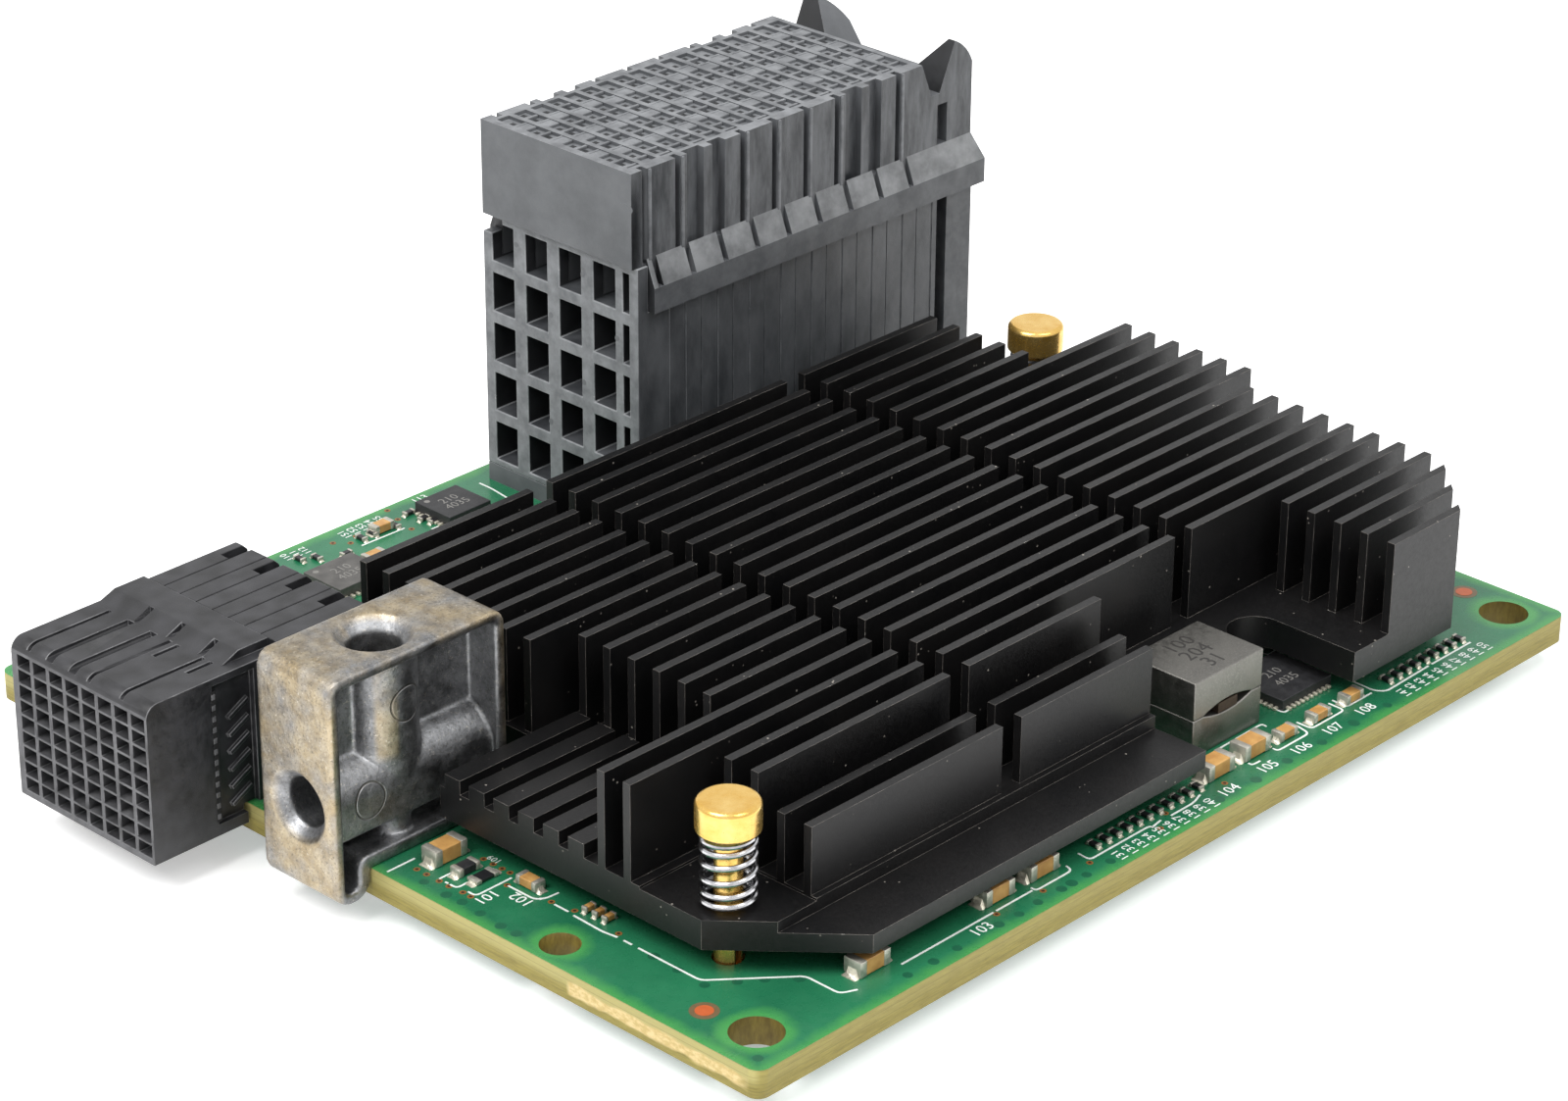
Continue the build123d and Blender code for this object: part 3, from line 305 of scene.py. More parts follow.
def black_anodised():
    """Dull black coat with a few pale specks, which lie in patches."""
    look = Finish("black_anodised", (15, 15, 16), 0.4, specular=0.37)
    body = look.cloud(6, 0.35, 0.65, (11, 11, 12), (19, 18, 18))
    specks = look.times(look.remap(look.cells(0.9), 0.11, 0.06), look.remap(look.grain(2.5), 0.54, 0.6))
    look.paint(look.mix(specks, body, (150, 144, 136)))
    look.gloss(0.3, 0.33, 0.46)
    look.relief(look.grain(0.12, 2), 0.006)
    return look.made


def worn_highlit_edge(name, dark, light, chip):
    """Rubbed arrises with a painted highlight: the finish turns paler, partly as wear and partly as painted light,
    and here and there a chip shows.
    """
    look = Finish(name, light, 0.42)
    chips = look.remap(look.grain(0.7, 5, 0.7), 0.64, 0.7)
    look.paint(look.mix(chips, look.cloud(1.6, 0.35, 0.62, dark, light), chip))
    look.relief(look.grain(0.3, 4), 0.01)
    return look.made


def gilt_brass():
    look = Finish("gilt_brass", (240, 200, 116), 0.22, metallic=0.86)
    look.paint(look.cloud(1.6, 0.35, 0.7, (222, 176, 86), (238, 202, 124)))
    look.gloss(0.25, 0.16, 0.3, detail=5)
    look.relief(look.grain(0.12, 3), 0.0015)
    return look.made


def bright_metal(name, colour, roughness, bump, metallic=1.0):
    look = Finish(name, colour, roughness, metallic=metallic)
    look.paint(look.cloud(0.5, 0.35, 0.7, tone(colour, 0.72), colour))
    look.relief(look.grain(0.18, 3), bump)
    return look.made


# Middles of the ejector marks on the cast block, its two hole mouths and its stained strip
EJECTOR_MARKS = ((0.8, 38.1, 7.0), (4.5, 38.3, 13.3))
EJECTOR_RADIUS = 1.35
MOUTH_Y = 41.2
TOP_MOUTH_X = 4.2
FRONT_MOUTH_Z = 7.0
STRIP_X = 2.9
STRIP_LOW = 9.0


def ejector_rings(look):
    """Share that is 1 on the fine circles that the ejector pins leave on a casting."""
    share = 0.0
    for centre in EJECTOR_MARKS:
        off_circle = look.apart(look.away(spot(*centre)), EJECTOR_RADIUS * MM)
        share = look.most(share, look.fade(off_circle, 0.11, 0.04))
    return share


def cast_zinc():
    """Die-cast metal: mottled grey, with tan stains on the outer faces alone and pale painted glints."""
    look = Finish("cast_zinc", (150, 148, 144), 0.42, metallic=1.0)
    low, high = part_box("guide_block")
    x, height = look.axis("X"), look.axis("Z")
    depth = look.least(look.least(look.minus(x, low.x), look.minus(high.x, x)), look.minus(high.z, height))
    outside = look.fade(depth, 0.75, 0.3)
    front_mouth = Vector((low.x, board_low.y + MOUTH_Y * MM, FRONT_MOUTH_Z * MM))
    for mouth in (spot(TOP_MOUTH_X, MOUTH_Y, high.z / MM), front_mouth):
        outside = look.times(outside, look.fade(look.away(mouth), 2.4, 2.9))
    strip = look.times(look.fade(look.apart(x, spot(STRIP_X, 0, 0).x), 0.9, 0.6),
                       look.fade(height, STRIP_LOW, STRIP_LOW + 0.8, 0.8))
    outside = look.most(outside, strip)
    cloud = look.remap(look.grain(4.5, 5), 0.34, 0.6)
    mottle = look.remap(look.grain(1.3, 5, 0.65), 0.36, 0.64)
    plain = look.mix(mottle, (122, 123, 125), (158, 159, 161))
    stain = look.mix(mottle, (158, 142, 114), (188, 174, 148))
    body = look.mix(look.times(cloud, outside), plain, stain)
    speck = look.remap(look.grain(0.22, 4, 0.75), 0.52, 0.66)
    body = look.mix(look.times(speck, 0.6), body, (84, 82, 78))
    # Near-white specks painted in as glints of light
    painted_glint = look.remap(look.grain(0.3, 5, 0.8), 0.58, 0.68)
    body = look.mix(look.times(painted_glint, 0.65), body, (228, 220, 206))
    rings = ejector_rings(look)
    look.paint(look.mix(look.times(rings, 0.55), body, (96, 90, 80)))
    look.gloss(1.1, 0.34, 0.54)
    look.relief(look.grain(0.3, 4, 0.7), 0.035)
    look.relief(look.grain(2.2, 3), 0.05)
    look.relief(look.minus(1.0, rings), 0.04)
    return look.made


def plastic(name, dark, light, roughness, patch, stretch=(1, 1, 1)):
    """Moulded plastic with cloudy rub marks and a fine matt grain."""
    look = Finish(name, light, roughness)
    look.paint(look.cloud(patch, 0.36, 0.64, dark, light, detail=5, roughness=0.62, stretch=stretch))
    look.gloss(0.5, roughness - 0.07, roughness + 0.08)
    look.relief(look.grain(0.11, 3), 0.012)
    return look.made


def ferrite_body():
    """Ground ferrite: a dark body whose grey comes from its dull mirror surface."""
    look = Finish("ferrite_body", (124, 123, 119), 0.42, metallic=1.0)
    body = look.cloud(0.16, 0.5, 0.7, (122, 120, 116), (160, 158, 152), detail=3, roughness=0.8)
    look.paint(look.cloud(2.2, 0.3, 0.7, body, (136, 134, 129)))
    look.gloss(0.7, 0.36, 0.5)
    look.relief(look.grain(0.14, 2), 0.012)
    return look.made


def tan_ceramic():
    look = Finish("tan_ceramic", (196, 148, 84), 0.36)
    look.paint(look.cloud(0.9, 0.35, 0.68, (170, 124, 68), (196, 152, 90)))
    look.relief(look.grain(0.1, 2), 0.004)
    return look.made


def plain_coat(name, colour, roughness):
    """Printed or painted film with a little unevenness."""
    look = Finish(name, colour, roughness)
    look.paint(look.cloud(0.4, 0.35, 0.65, tone(colour, 0.86), colour))
    return look.made


MASK = solder_mask()
LAMINATE = laminate()
HOLE_WALL = hole_wall()
ANODISED = black_anodised()
# Edge finishes: paler arrises, partly wear and partly a painted highlight
ANODISED_EDGE = worn_highlit_edge("anodised_edge", (46, 44, 43), (122, 116, 110), (216, 210, 202))
GILT = gilt_brass()
SPRING = bright_metal("spring_steel", (205, 205, 208), 0.18, 0.002)
PLATED = bright_metal("plated_steel", (178, 178, 176), 0.35, 0.01)
TINNED = bright_metal("tinned_metal", (206, 202, 190), 0.4, 0.02, 0.7)
STRIP = bright_metal("inductor_strip_metal", (70, 56, 46), 0.5, 0.01, 0.6)
SOLDER = bright_metal("solder", (232, 226, 206), 0.3, 0.03, 0.6)
ZINC = cast_zinc()
BLACK_PLASTIC = plastic("black_plastic", (24, 24, 26), (48, 48, 51), 0.44, 2.0)
BLACK_EDGE = worn_highlit_edge("black_plastic_edge", (62, 62, 64), (106, 106, 108), (142, 142, 142))
# Paler copies of the black plastic, with painted light, for the cell grid's web and walls
BLACK_WEB_PAINTED_LIGHT = plastic("black_plastic_web", (58, 58, 60), (86, 86, 89), 0.5, 1.6)
CELL_WALL_PAINTED_LIGHT = plastic("black_plastic_cell", (44, 44, 46), (70, 70, 72), 0.5, 1.2)
GREY_PLASTIC = plastic("grey_plastic", (79, 81, 84), (94, 96, 99), 0.5, 5.0)
# Lit and shaded copies of the grey plastic: paler ones with painted light for tops and slopes, darker ones with
# painted shade for rims, near faces and recesses; the smeared one is streaked as well as shaded
GREY_PAINTED_LIGHT = plastic("grey_plastic_top", (90, 92, 95), (122, 124, 127), 0.5, 1.6)
GREY_EDGE = worn_highlit_edge("grey_plastic_edge", (108, 110, 113), (138, 140, 142), (164, 164, 164))
GREY_SLOPE_PAINTED_LIGHT = plastic("grey_plastic_slope", (104, 106, 108), (140, 142, 144), 0.5, 2.2)
GREY_PAINTED_SHADE = plastic("grey_plastic_rim", (62, 64, 67), (84, 86, 89), 0.5, 2.2)
GREY_SMEARED_SHADE = plastic("grey_plastic_smeared", (46, 48, 51), (90, 92, 95), 0.46, 1.4,
                       stretch=(1.4, 1.4, 0.3))
GREY_DEEP_SHADE = plastic("grey_recess", (20, 21, 23), (34, 35, 38), 0.55, 2.0)
WAFER_PLASTIC = plastic("wafer_plastic", (48, 50, 53), (78, 80, 83), 0.46, 4.0, stretch=(1.2, 1.2, 0.5))
WAFER_EDGE = worn_highlit_edge("wafer_edge", (64, 66, 69), (104, 106, 109), (120, 122, 124))
PALE_PLASTIC = plastic("pale_plastic", (190, 190, 180), (214, 214, 206), 0.5, 2.0)
CHIP_PLASTIC = plastic("chip_plastic", (30, 30, 32), (42, 42, 44), 0.5, 1.0)
BROWN_CHIP = plastic("brown_chip_plastic", (62, 60, 58), (84, 82, 79), 0.45, 1.0)
SUBSTRATE = plastic("substrate", (24, 70, 40), (34, 88, 52), 0.45, 3.0)
RUBBER = plastic("thermal_rubber", (120, 122, 130), (140, 142, 150), 0.7, 1.5)
FERRITE = ferrite_body()
CERAMIC = tan_ceramic()
PRINT = plain_coat("white_print", (226, 230, 226), 0.5)
CHIP_PRINT = plain_coat("chip_print", (120, 118, 114), 0.5)
DARK_PRINT = plain_coat("dark_print", (44, 42, 40), 0.5)
COPPER = plain_coat("copper_mark", (180, 88, 46), 0.4)
COPPER_RING = plain_coat("copper_ring", (104, 86, 60), 0.4)
VIA_RING = plain_coat("via_ring", (136, 88, 42), 0.45)
# Dark dots that stand in for the shade inside open via holes
VIA_HOLE_SHADE = plain_coat("dark_hollow", (40, 28, 16), 0.6)
TENTED = plain_coat("tented_via", (27, 88, 62), 0.32)
# Near-black sheet that stands in for the shade in a slit
SLIT_SHADE = plain_coat("black_slit", (5, 5, 6), 0.8)
RESISTOR_BLACK = plain_coat("resistor_body", (30, 30, 32), 0.35)

# Mesh building


def new_object(name, data):
    made = bpy.data.objects.new(name, data)
    bpy.context.scene.collection.objects.link(made)
    return made


def into_scene(name, mesh, finishes, body, stands_for=()):
    """Object of a finished mesh, its body and the nodes that it stands for."""
    made = new_object(name, mesh)
    for finish in finishes:
        mesh.materials.append(finish)
    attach(made, body)
    if stands_for:
        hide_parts(*stands_for)
    return made


WELD = 0.001
FLAT_ANGLE = radians(0.4)


def welded(node):
    """The CAD node's form, its facets joined up."""
    work = bmesh.new()
    work.from_mesh(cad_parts[node].data)
    bmesh.ops.remove_doubles(work, verts=work.verts, dist=WELD * MM)
    return work


def clean_copy(node):
    """The CAD node's form as a mesh of whole flat faces."""
    work = welded(node)
    bmesh.ops.dissolve_limit(work, angle_limit=FLAT_ANGLE, verts=work.verts, edges=work.edges)
    bmesh.ops.recalc_face_normals(work, faces=work.faces)
    return work


SLANT = 0.85
ROOM = 2.2


def has_room(edge, reach):
    """True where no short edge that meets this one at a slant would be eaten by the rounding."""
    way = (edge.verts[1].co - edge.verts[0].co).normalized()
    for vert in edge.verts:
        for other in vert.link_edges:
            run = other.verts[1].co - other.verts[0].co
            if run.length < reach and abs(run.normalized().dot(way)) < SLANT:
                return False
    return True


def mark_arrises(work, width, degrees):
    """Weight 1 on the sharp edges that can take the whole rounding."""
    weight = work.edges.layers.float.new("bevel_weight_edge")
    for edge in work.edges:
        if len(edge.link_faces) == 2 and edge.calc_face_angle(0) > radians(degrees):
            edge[weight] = 1.0 if has_room(edge, ROOM * width * MM) else 0.0


def dress(node, finishes, rounding, body="card", segments=2, paint=None, edge_wear_highlight=None, angle=30, change=None):
    """Copy of a rigid CAD node with softened edges and its finishes, standing for the node."""
    work = clean_copy(node)
    if change:
        change(work)
    if paint:
        for face in work.faces:
            face.material_index = finishes.index(paint(face))
    mark_arrises(work, rounding, angle)
    mesh = bpy.data.meshes.new(node + "_dressed")
    work.to_mesh(mesh)
    work.free()
    mesh.shade_smooth()
    made = into_scene(node + "_dressed", mesh, finishes, body, (node,))
    soften = made.modifiers.new("soften", "BEVEL")
    soften.width = rounding * MM
    soften.segments = segments
    soften.limit_method = "WEIGHT"
    # The bevel takes the paler edge finish: wear with a painted highlight
    if edge_wear_highlight:
        soften.material = finishes.index(edge_wear_highlight)
    made.modifiers.new("flat_faces", "WEIGHTED_NORMAL").keep_sharp = True


def add_block(work, centre, size, rounding=0.0, turn=0.0, segments=2):
    """Box with softened edges round a point of the frame, sizes in millimetres, turned about Z."""
    verts = bmesh.ops.create_cube(work, size=1)["verts"]
    move = Matrix.Translation(centre) @ Matrix.Rotation(radians(turn), 4, "Z")
    move = move @ Matrix.Diagonal([value * MM for value in size] + [1.0])
    bmesh.ops.transform(work, matrix=move, verts=verts)
    if rounding:
        edges = list({edge for vert in verts for edge in vert.link_edges})
        bmesh.ops.bevel(work, geom=edges, offset=rounding * MM, segments=segments, affect="EDGES", profile=0.5)


def add_sides(work, first, second):
    """Faces between two rings."""
    count = len(first)
    for step in range(count):
        after = (step + 1) % count
        work.faces.new((first[step], first[after], second[after], second[step]))


def add_tube(work, rings):
    """Closed skin over a row of rings."""
    for first, second in zip(rings, rings[1:]):
        add_sides(work, first, second)
    work.faces.new(rings[0])
    work.faces.new(rings[-1])


def add_prism(work, outline, low, high):
    """Closed prism over an outline of plan points, between two heights."""
    bottom, top = ([work.verts.new(spot(x, y, height)) for x, y in outline] for height in (low, high))
    work.faces.new(bottom[::-1])
    work.faces.new(top)
    add_sides(work, bottom, top)


def add_disc(work, x, y, radius, sides, low, high):
    """Flat disc between two heights over the board."""
    add_prism(work, circle_points(x, y, radius, sides), board_top + low, board_top + high)


def add_ribbon(work, points, width, low, high):
    """Flat printed line through plan points, with mitred corners."""
    points = [Vector(point) for point in points]
    runs = [(after - here).normalized() for here, after in zip(points, points[1:])]
    left, right = [], []
    for here, run_in, run_out in zip(points, runs[:1] + runs, runs + runs[-1:]):
        middle = (run_in + run_out).normalized()
        side = Vector((-middle.y, middle.x)) * width / 2 / max(0.5, middle.dot(run_in))
        left.append(here + side)
        right.append(here - side)
    add_prism(work, right + left[::-1], low, high)


def circle_points(x, y, radius, count):
    turns = [2 * pi * step / count for step in range(count)]
    return [(x + radius * cos(turn), y + radius * sin(turn)) for turn in turns]


UNIT_16 = circle_points(0, 0, 1, 16)
FONT_SCALE = 1.35
INK = 0.008


def add_number(work, digits, x, y, size, height, turn=0.0):
    """Printed plain number, its middle at a plan position."""
    curve = bpy.data.curves.new("number", "FONT")
    curve.body = digits
    curve.size = size * FONT_SCALE * MM
    curve.extrude = INK * MM
    curve.align_x = "CENTER"
    curve.align_y = "CENTER"
    curve.resolution_u = 2
    holder = bpy.data.objects.new("number", curve)
    mesh = bpy.data.meshes.new_from_object(holder)
    mesh.transform(Matrix.Translation(spot(x, y, height)) @ Matrix.Rotation(radians(turn), 4, "Z"))
    work.from_mesh(mesh)
    bpy.data.objects.remove(holder)
    bpy.data.curves.remove(curve)
    bpy.data.meshes.remove(mesh)


SMOOTH_ANGLE = radians(35)


def finish_heap(work, name, finish, stands_for=(), smooth=False, facing=True):
    """One object from the shapes that were collected."""
    if facing:
        bmesh.ops.recalc_face_normals(work, faces=work.faces)
    mesh = bpy.data.meshes.new(name)
    work.to_mesh(mesh)
    work.free()
    if smooth:
        mesh.shade_smooth()
        mesh.set_sharp_from_angle(angle=SMOOTH_ANGLE)
    return into_scene(name, mesh, [finish], "card", stands_for)


# Circuit board: green mask on both faces, bare laminate round the edge and in the holes

EDGE_MARGIN = 1.2 * MM


def board_paint(face):
    if abs(face.normal.z) > 0.5:
        return MASK
    middle = face.calc_center_median()
    inside_x = board_low.x + EDGE_MARGIN < middle.x < board_high.x - EDGE_MARGIN
    inside_y = board_low.y + EDGE_MARGIN < middle.y < board_high.y - EDGE_MARGIN
    return HOLE_WALL if inside_x and inside_y else LAMINATE


def make_board():
    dress("circuit_board", [MASK, LAMINATE, HOLE_WALL], 0.06, segments=1,
          paint=board_paint, angle=60)


# Heat sink with its worn arrises, paler with wear and a painted highlight, the pins and the round-wire springs


def make_heat_sink():
    dress("heat_sink", [ANODISED, ANODISED_EDGE], 0.08, edge_wear_highlight=ANODISED_EDGE)


SPRING_TURNS = 6
SPRING_WIRE = 0.46
SPRING_STEPS = 32
SPRING_EASE = 0.06
WIRE_SIDES = 10


def make_spring(side):
    """Round wire coil with closed ends between the heat sink and the pin's head."""
    low, high = span("pin_spring_" + side)
    radius = (high.x - low.x - SPRING_WIRE) / 2
    work = bmesh.new()
    rings = []
    steps = SPRING_TURNS * SPRING_STEPS
    for step in range(steps + 1):
        share = step / steps
        turn = 2 * pi * SPRING_TURNS * share
        # The end turns lie nearly flat, so the height follows an eased share
        eased = share - SPRING_EASE * sin(2 * pi * share)
        height = low.z + SPRING_WIRE / 2 + (high.z - low.z - SPRING_WIRE) * eased
        out = Vector((cos(turn), sin(turn), 0))
        centre = spot((low.x + high.x) / 2, (low.y + high.y) / 2, height) + out * radius * MM
        rings.append([
            work.verts.new(centre + (out * across + Vector((0, 0, up))) * SPRING_WIRE / 2 * MM)
            for across, up in circle_points(0, 0, 1, WIRE_SIDES)
        ])
    add_tube(work, rings)
    made = finish_heap(work, "coil_spring_" + side, SPRING, ("pin_spring_" + side,), smooth=True)
    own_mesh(made)


def make_pins():
    for side in ("front", "rear"):
        dress("push_pin_" + side, [GILT], 0.16, body=side + "_pin", segments=3)
        make_spring(side)


# Connectors, inductor and guide block

# Distances that count as none, along a surface and into it
HAIR = 0.02
SKIN = 0.05
FINE_GROOVE = 0.3
FINE_DRAWN = 0.07


def flatten_grooves(work):
    """The fine grooves of a wafer are drawn shallower, as they barely show."""
    low, high = span("mezzanine_wafer_02")
    for vert in work.verts:
        y = plan(vert.co)[1]
        if HAIR < y - low.y < FINE_GROOVE:
            vert.co.y = board_low.y + (low.y + FINE_DRAWN) * MM
        elif HAIR < high.y - y < FINE_GROOVE:
            vert.co.y = board_low.y + (high.y - FINE_DRAWN) * MM


# The shroud's ridged top, which the horns stand above, and the trenches along it
HORN_RISE = 1.1
DECK = span("mezzanine_shroud")[1].z - HORN_RISE
SLOT_FIRST = 1.0
SLOT_PITCH_X = 1.815
SLOT_PITCH_Y = 1.36
SLOT_INSET = 2.2
SLOTS_IN_ROW = 10
TRENCHES = [span("mezzanine_end_cover")[0].x + SLOT_FIRST + row * SLOT_PITCH_X for row in range(18)]
TRENCH_HALF = 0.525
TRENCH_DEPTH = 0.3
TRENCH_WIDER = 0.13


def widen_trenches(work):
    """Moves the long sides of the trenches apart, to the thin ridges between them."""
    for vert in work.verts:
        x, _, height = plan(vert.co)
        for row_x in TRENCHES:
            if height >= DECK - TRENCH_DEPTH - HAIR and abs(abs(x - row_x) - TRENCH_HALF) < HAIR:
                side = 1 if x > row_x else -1
                vert.co.x = board_low.x + (row_x + side * (TRENCH_HALF + TRENCH_WIDER)) * MM
                break


def shroud_paint(face):
    """Painted light and shade by face: paler tops and slopes, a darker collar rim, streaked darker near faces, and
    dark painted shade inside the slots, between the horns and above the cover.
    """
    low, high = span("mezzanine_shroud")
    x, y, height = plan(face.calc_center_median())
    inside = low.y + 1.6 < y < high.y - 1.6
    in_slots = low.x + 0.6 < x < low.x + 36 and DECK - 1.8 < height < DECK - TRENCH_DEPTH - SKIN
    at_horns = x > high.x - 4.2 and height > DECK - 3.2
    over_cover = low.x + 0.9 < x < low.x + 4.0 and height < low.z + 4.5
    # Painted shade inside the slots
    if inside and in_slots:
        return GREY_DEEP_SHADE
    # Painted light on the upward tops
    if face.normal.z > 0.9 and DECK - 0.5 < height < DECK + 0.1:
        return GREY_PAINTED_LIGHT
    # Painted light on the upward slopes
    if 0.25 < face.normal.z < 0.92 and height < DECK - 2:
        return GREY_SLOPE_PAINTED_LIGHT
    # Painted shade on the collar's upright near rim
    if face.normal.y < -0.9 and height < DECK - 3 and y < low.y + 0.3:
        return GREY_PAINTED_SHADE
    # Near faces: streaks with painted shade
    if face.normal.y < -0.9 and y < low.y + 4:
        return GREY_SMEARED_SHADE
    # Painted shade on the inner faces of the horns and above the cover
    if face.normal.x < -0.5 and (at_horns and inside or over_cover):
        return GREY_DEEP_SHADE
    return GREY_PLASTIC


def add_shroud_cells():
    """Cross ribs and floors that divide each trench into groups of contact cells; the ribs take the grey with painted
    light, and thin dark pads on the floors are painted shade.
    """
    low, high = span("mezzanine_wafer_02")
    ribs, pit_shade = bmesh.new(), bmesh.new()
    width = 2 * (TRENCH_HALF + TRENCH_WIDER)
    floor = DECK - TRENCH_DEPTH
    for row, row_x in enumerate(TRENCHES):
        for place in range(SLOTS_IN_ROW):
            y = low.y + SLOT_INSET + (place + row % 2 / 2) * SLOT_PITCH_Y
            if y > high.y - SLOT_INSET + 0.6:
                continue
            # Every third cell is a closed bridge
            if (place + row % 2) % 3 == 2:
                add_block(ribs, spot(row_x, y, DECK - 0.2), (width, 1.05, 0.3), 0.07)
                continue
            add_block(ribs, spot(row_x, y - SLOT_PITCH_Y / 2, DECK - 0.17), (width, 0.26, 0.26), 0.06)
            # Thin dark pad of painted shade on the cell floor
            add_block(pit_shade, spot(row_x, y + 0.22, floor + 0.01), (0.5, 0.46, 0.04))
            add_block(ribs, spot(row_x, y - 0.24, floor - 0.05), (0.62, 0.5, 0.14), 0.03)
    finish_heap(ribs, "mezzanine_cell_ribs", GREY_PAINTED_LIGHT)
    finish_heap(pit_shade, "mezzanine_cell_pits", GREY_DEEP_SHADE)


# Key grooves along the shroud's long sides, above its sloped collar
GROOVE_FIRST = 1.2
GROOVE_PITCH = 3.63
GROOVE_WIDTH = 0.55
NARROW_GROOVES = (0, 1, 3, 4, 5, 6, 8)
COLLAR_PROUD = 0.9
COLLAR_TOP = 26.5


def add_shroud_ribs():
    """Low upright ribs beside the narrow grooves, in the grey with painted light, and thin dark pads of painted shade
    at the grooves' feet.
    """
    low, high = span("mezzanine_shroud")
    top = DECK - 0.25
    ribs, foot_shade = bmesh.new(), bmesh.new()
    for groove in NARROW_GROOVES:
        x = low.x + GROOVE_FIRST + groove * GROOVE_PITCH
        for y, inward in ((low.y + COLLAR_PROUD, 1), (high.y - COLLAR_PROUD, -1)):
            add_block(ribs, spot(x + GROOVE_WIDTH + 0.25, y, (COLLAR_TOP + top) / 2),
                      (0.32, 0.26, top - COLLAR_TOP + 0.4), 0.09)
            # Thin dark pad of painted shade at the groove's foot
            add_block(foot_shade, spot(x + GROOVE_WIDTH / 2, y + inward * 0.66, COLLAR_TOP + 0.5),
                      (GROOVE_WIDTH - 0.14, 0.12, 1.5))
    finish_heap(ribs, "mezzanine_side_ribs", GREY_PAINTED_LIGHT)
    finish_heap(foot_shade, "mezzanine_groove_feet", GREY_DEEP_SHADE)


def cover_paint(face):
    """Painted shade inside the windows of the end cover, lighter sills, darker near faces, and the grey with painted
    light elsewhere.
    """
    low, high = span("mezzanine_end_cover")
    x, y, height = plan(face.calc_center_median())
    inside = low.y + 0.3 < y < high.y - 0.3 and low.z + 0.3 < height < high.z - 0.3
    # Inside the windows: painted shade on the walls, the darker plastic on the sills
    if inside and low.x + 0.2 < x < low.x + 3.4:
        return WAFER_PLASTIC if face.normal.z > 0.7 else GREY_DEEP_SHADE
    # Outside: the darker plastic on near faces as painted shade, the grey with painted light elsewhere
    return WAFER_PLASTIC if face.normal.y < -0.9 else GREY_PAINTED_LIGHT


CELL_DEPTH = 5.0
CELLS_LOW = 0.5
CELLS_HIGH = 11.7


def nose_paint(face):
    """Painted light and shade on the cell grid: its web and the cells' walls are paler than the housing, and the
    cells' floors darker.
    """
    low, high = span("edge_housing")
    x, y, height = plan(face.calc_center_median())
    depth, rise = x - low.x, height - low.z
    if face.normal.x < -0.9 and depth < SKIN:
        return BLACK_WEB_PAINTED_LIGHT
    # Cell floors take the darker chip plastic as painted shade
    if face.normal.x < -0.9 and 0.3 < depth < CELL_DEPTH + 1:
        return CHIP_PLASTIC
    in_cells = low.y + 0.25 < y < high.y - 0.25 and CELLS_LOW < rise < CELLS_HIGH
    return CELL_WALL_PAINTED_LIGHT if in_cells and SKIN < depth < CELL_DEPTH - SKIN else BLACK_PLASTIC


SLIT_X = -2.95
SLIT_LOW = 2.0
SLIT_HIGH = 12.5
SLIT_WIDTH = 0.44
BRIDGES = 12
BRIDGE_WIDTH = 0.32
BRIDGE_SHARE = 0.48


def add_housing_slit():
    """Upright slit in the near side of the edge connector, drawn as a thin black sheet of painted shade, with pale
    bridges across it in the edge finish.
    """
    y = span("edge_housing")[0].y
    slit, bridges = bmesh.new(), bmesh.new()
    add_block(slit, spot(SLIT_X, y, (SLIT_LOW + SLIT_HIGH) / 2), (SLIT_WIDTH, 0.04, SLIT_HIGH - SLIT_LOW), 0.01, 0, 1)
    pitch = (SLIT_HIGH - SLIT_LOW) / BRIDGES
    for step in range(BRIDGES):
        add_block(bridges, spot(SLIT_X - 0.04, y, SLIT_LOW + pitch * (step + 0.5)),
                  (BRIDGE_WIDTH, 0.1, pitch * BRIDGE_SHARE), 0.03)
    # The slit is a black sheet of painted shade
    finish_heap(slit, "edge_housing_slit", SLIT_SHADE)
    finish_heap(bridges, "edge_housing_bridges", BLACK_EDGE)


def make_connectors():
    black = [BLACK_PLASTIC, BLACK_EDGE, BLACK_WEB_PAINTED_LIGHT, CHIP_PLASTIC, CELL_WALL_PAINTED_LIGHT]
    dress("edge_housing", black, 0.09, paint=nose_paint, edge_wear_highlight=BLACK_EDGE)
    add_housing_slit()
    for number in range(1, 9):
        dress(f"edge_wafer_{number}", [BLACK_PLASTIC], 0.08)
    grey = [GREY_PLASTIC, GREY_EDGE, GREY_PAINTED_LIGHT, GREY_DEEP_SHADE, GREY_SLOPE_PAINTED_LIGHT, GREY_PAINTED_SHADE, GREY_SMEARED_SHADE]
    dress("mezzanine_shroud", grey, 0.1, paint=shroud_paint, edge_wear_highlight=GREY_EDGE, change=widen_trenches)
    add_shroud_cells()
    add_shroud_ribs()
    add_gate_marks()
    cover = [GREY_PAINTED_LIGHT, GREY_EDGE, GREY_DEEP_SHADE, WAFER_PLASTIC]
    dress("mezzanine_end_cover", cover, 0.1, paint=cover_paint, edge_wear_highlight=GREY_EDGE)
    dress("mezzanine_base", [GREY_PLASTIC, GREY_EDGE], 0.1, edge_wear_highlight=GREY_EDGE)
    # The end post takes the darker grey, which carries painted shade
    dress("mezzanine_end_post", [GREY_PAINTED_SHADE, WAFER_EDGE], 0.06, edge_wear_highlight=WAFER_EDGE)
    for number in range(1, 10):
        dress(f"mezzanine_wafer_{number:02d}", [WAFER_PLASTIC, WAFER_EDGE], 0.03,
              edge_wear_highlight=WAFER_EDGE, change=flatten_grooves)


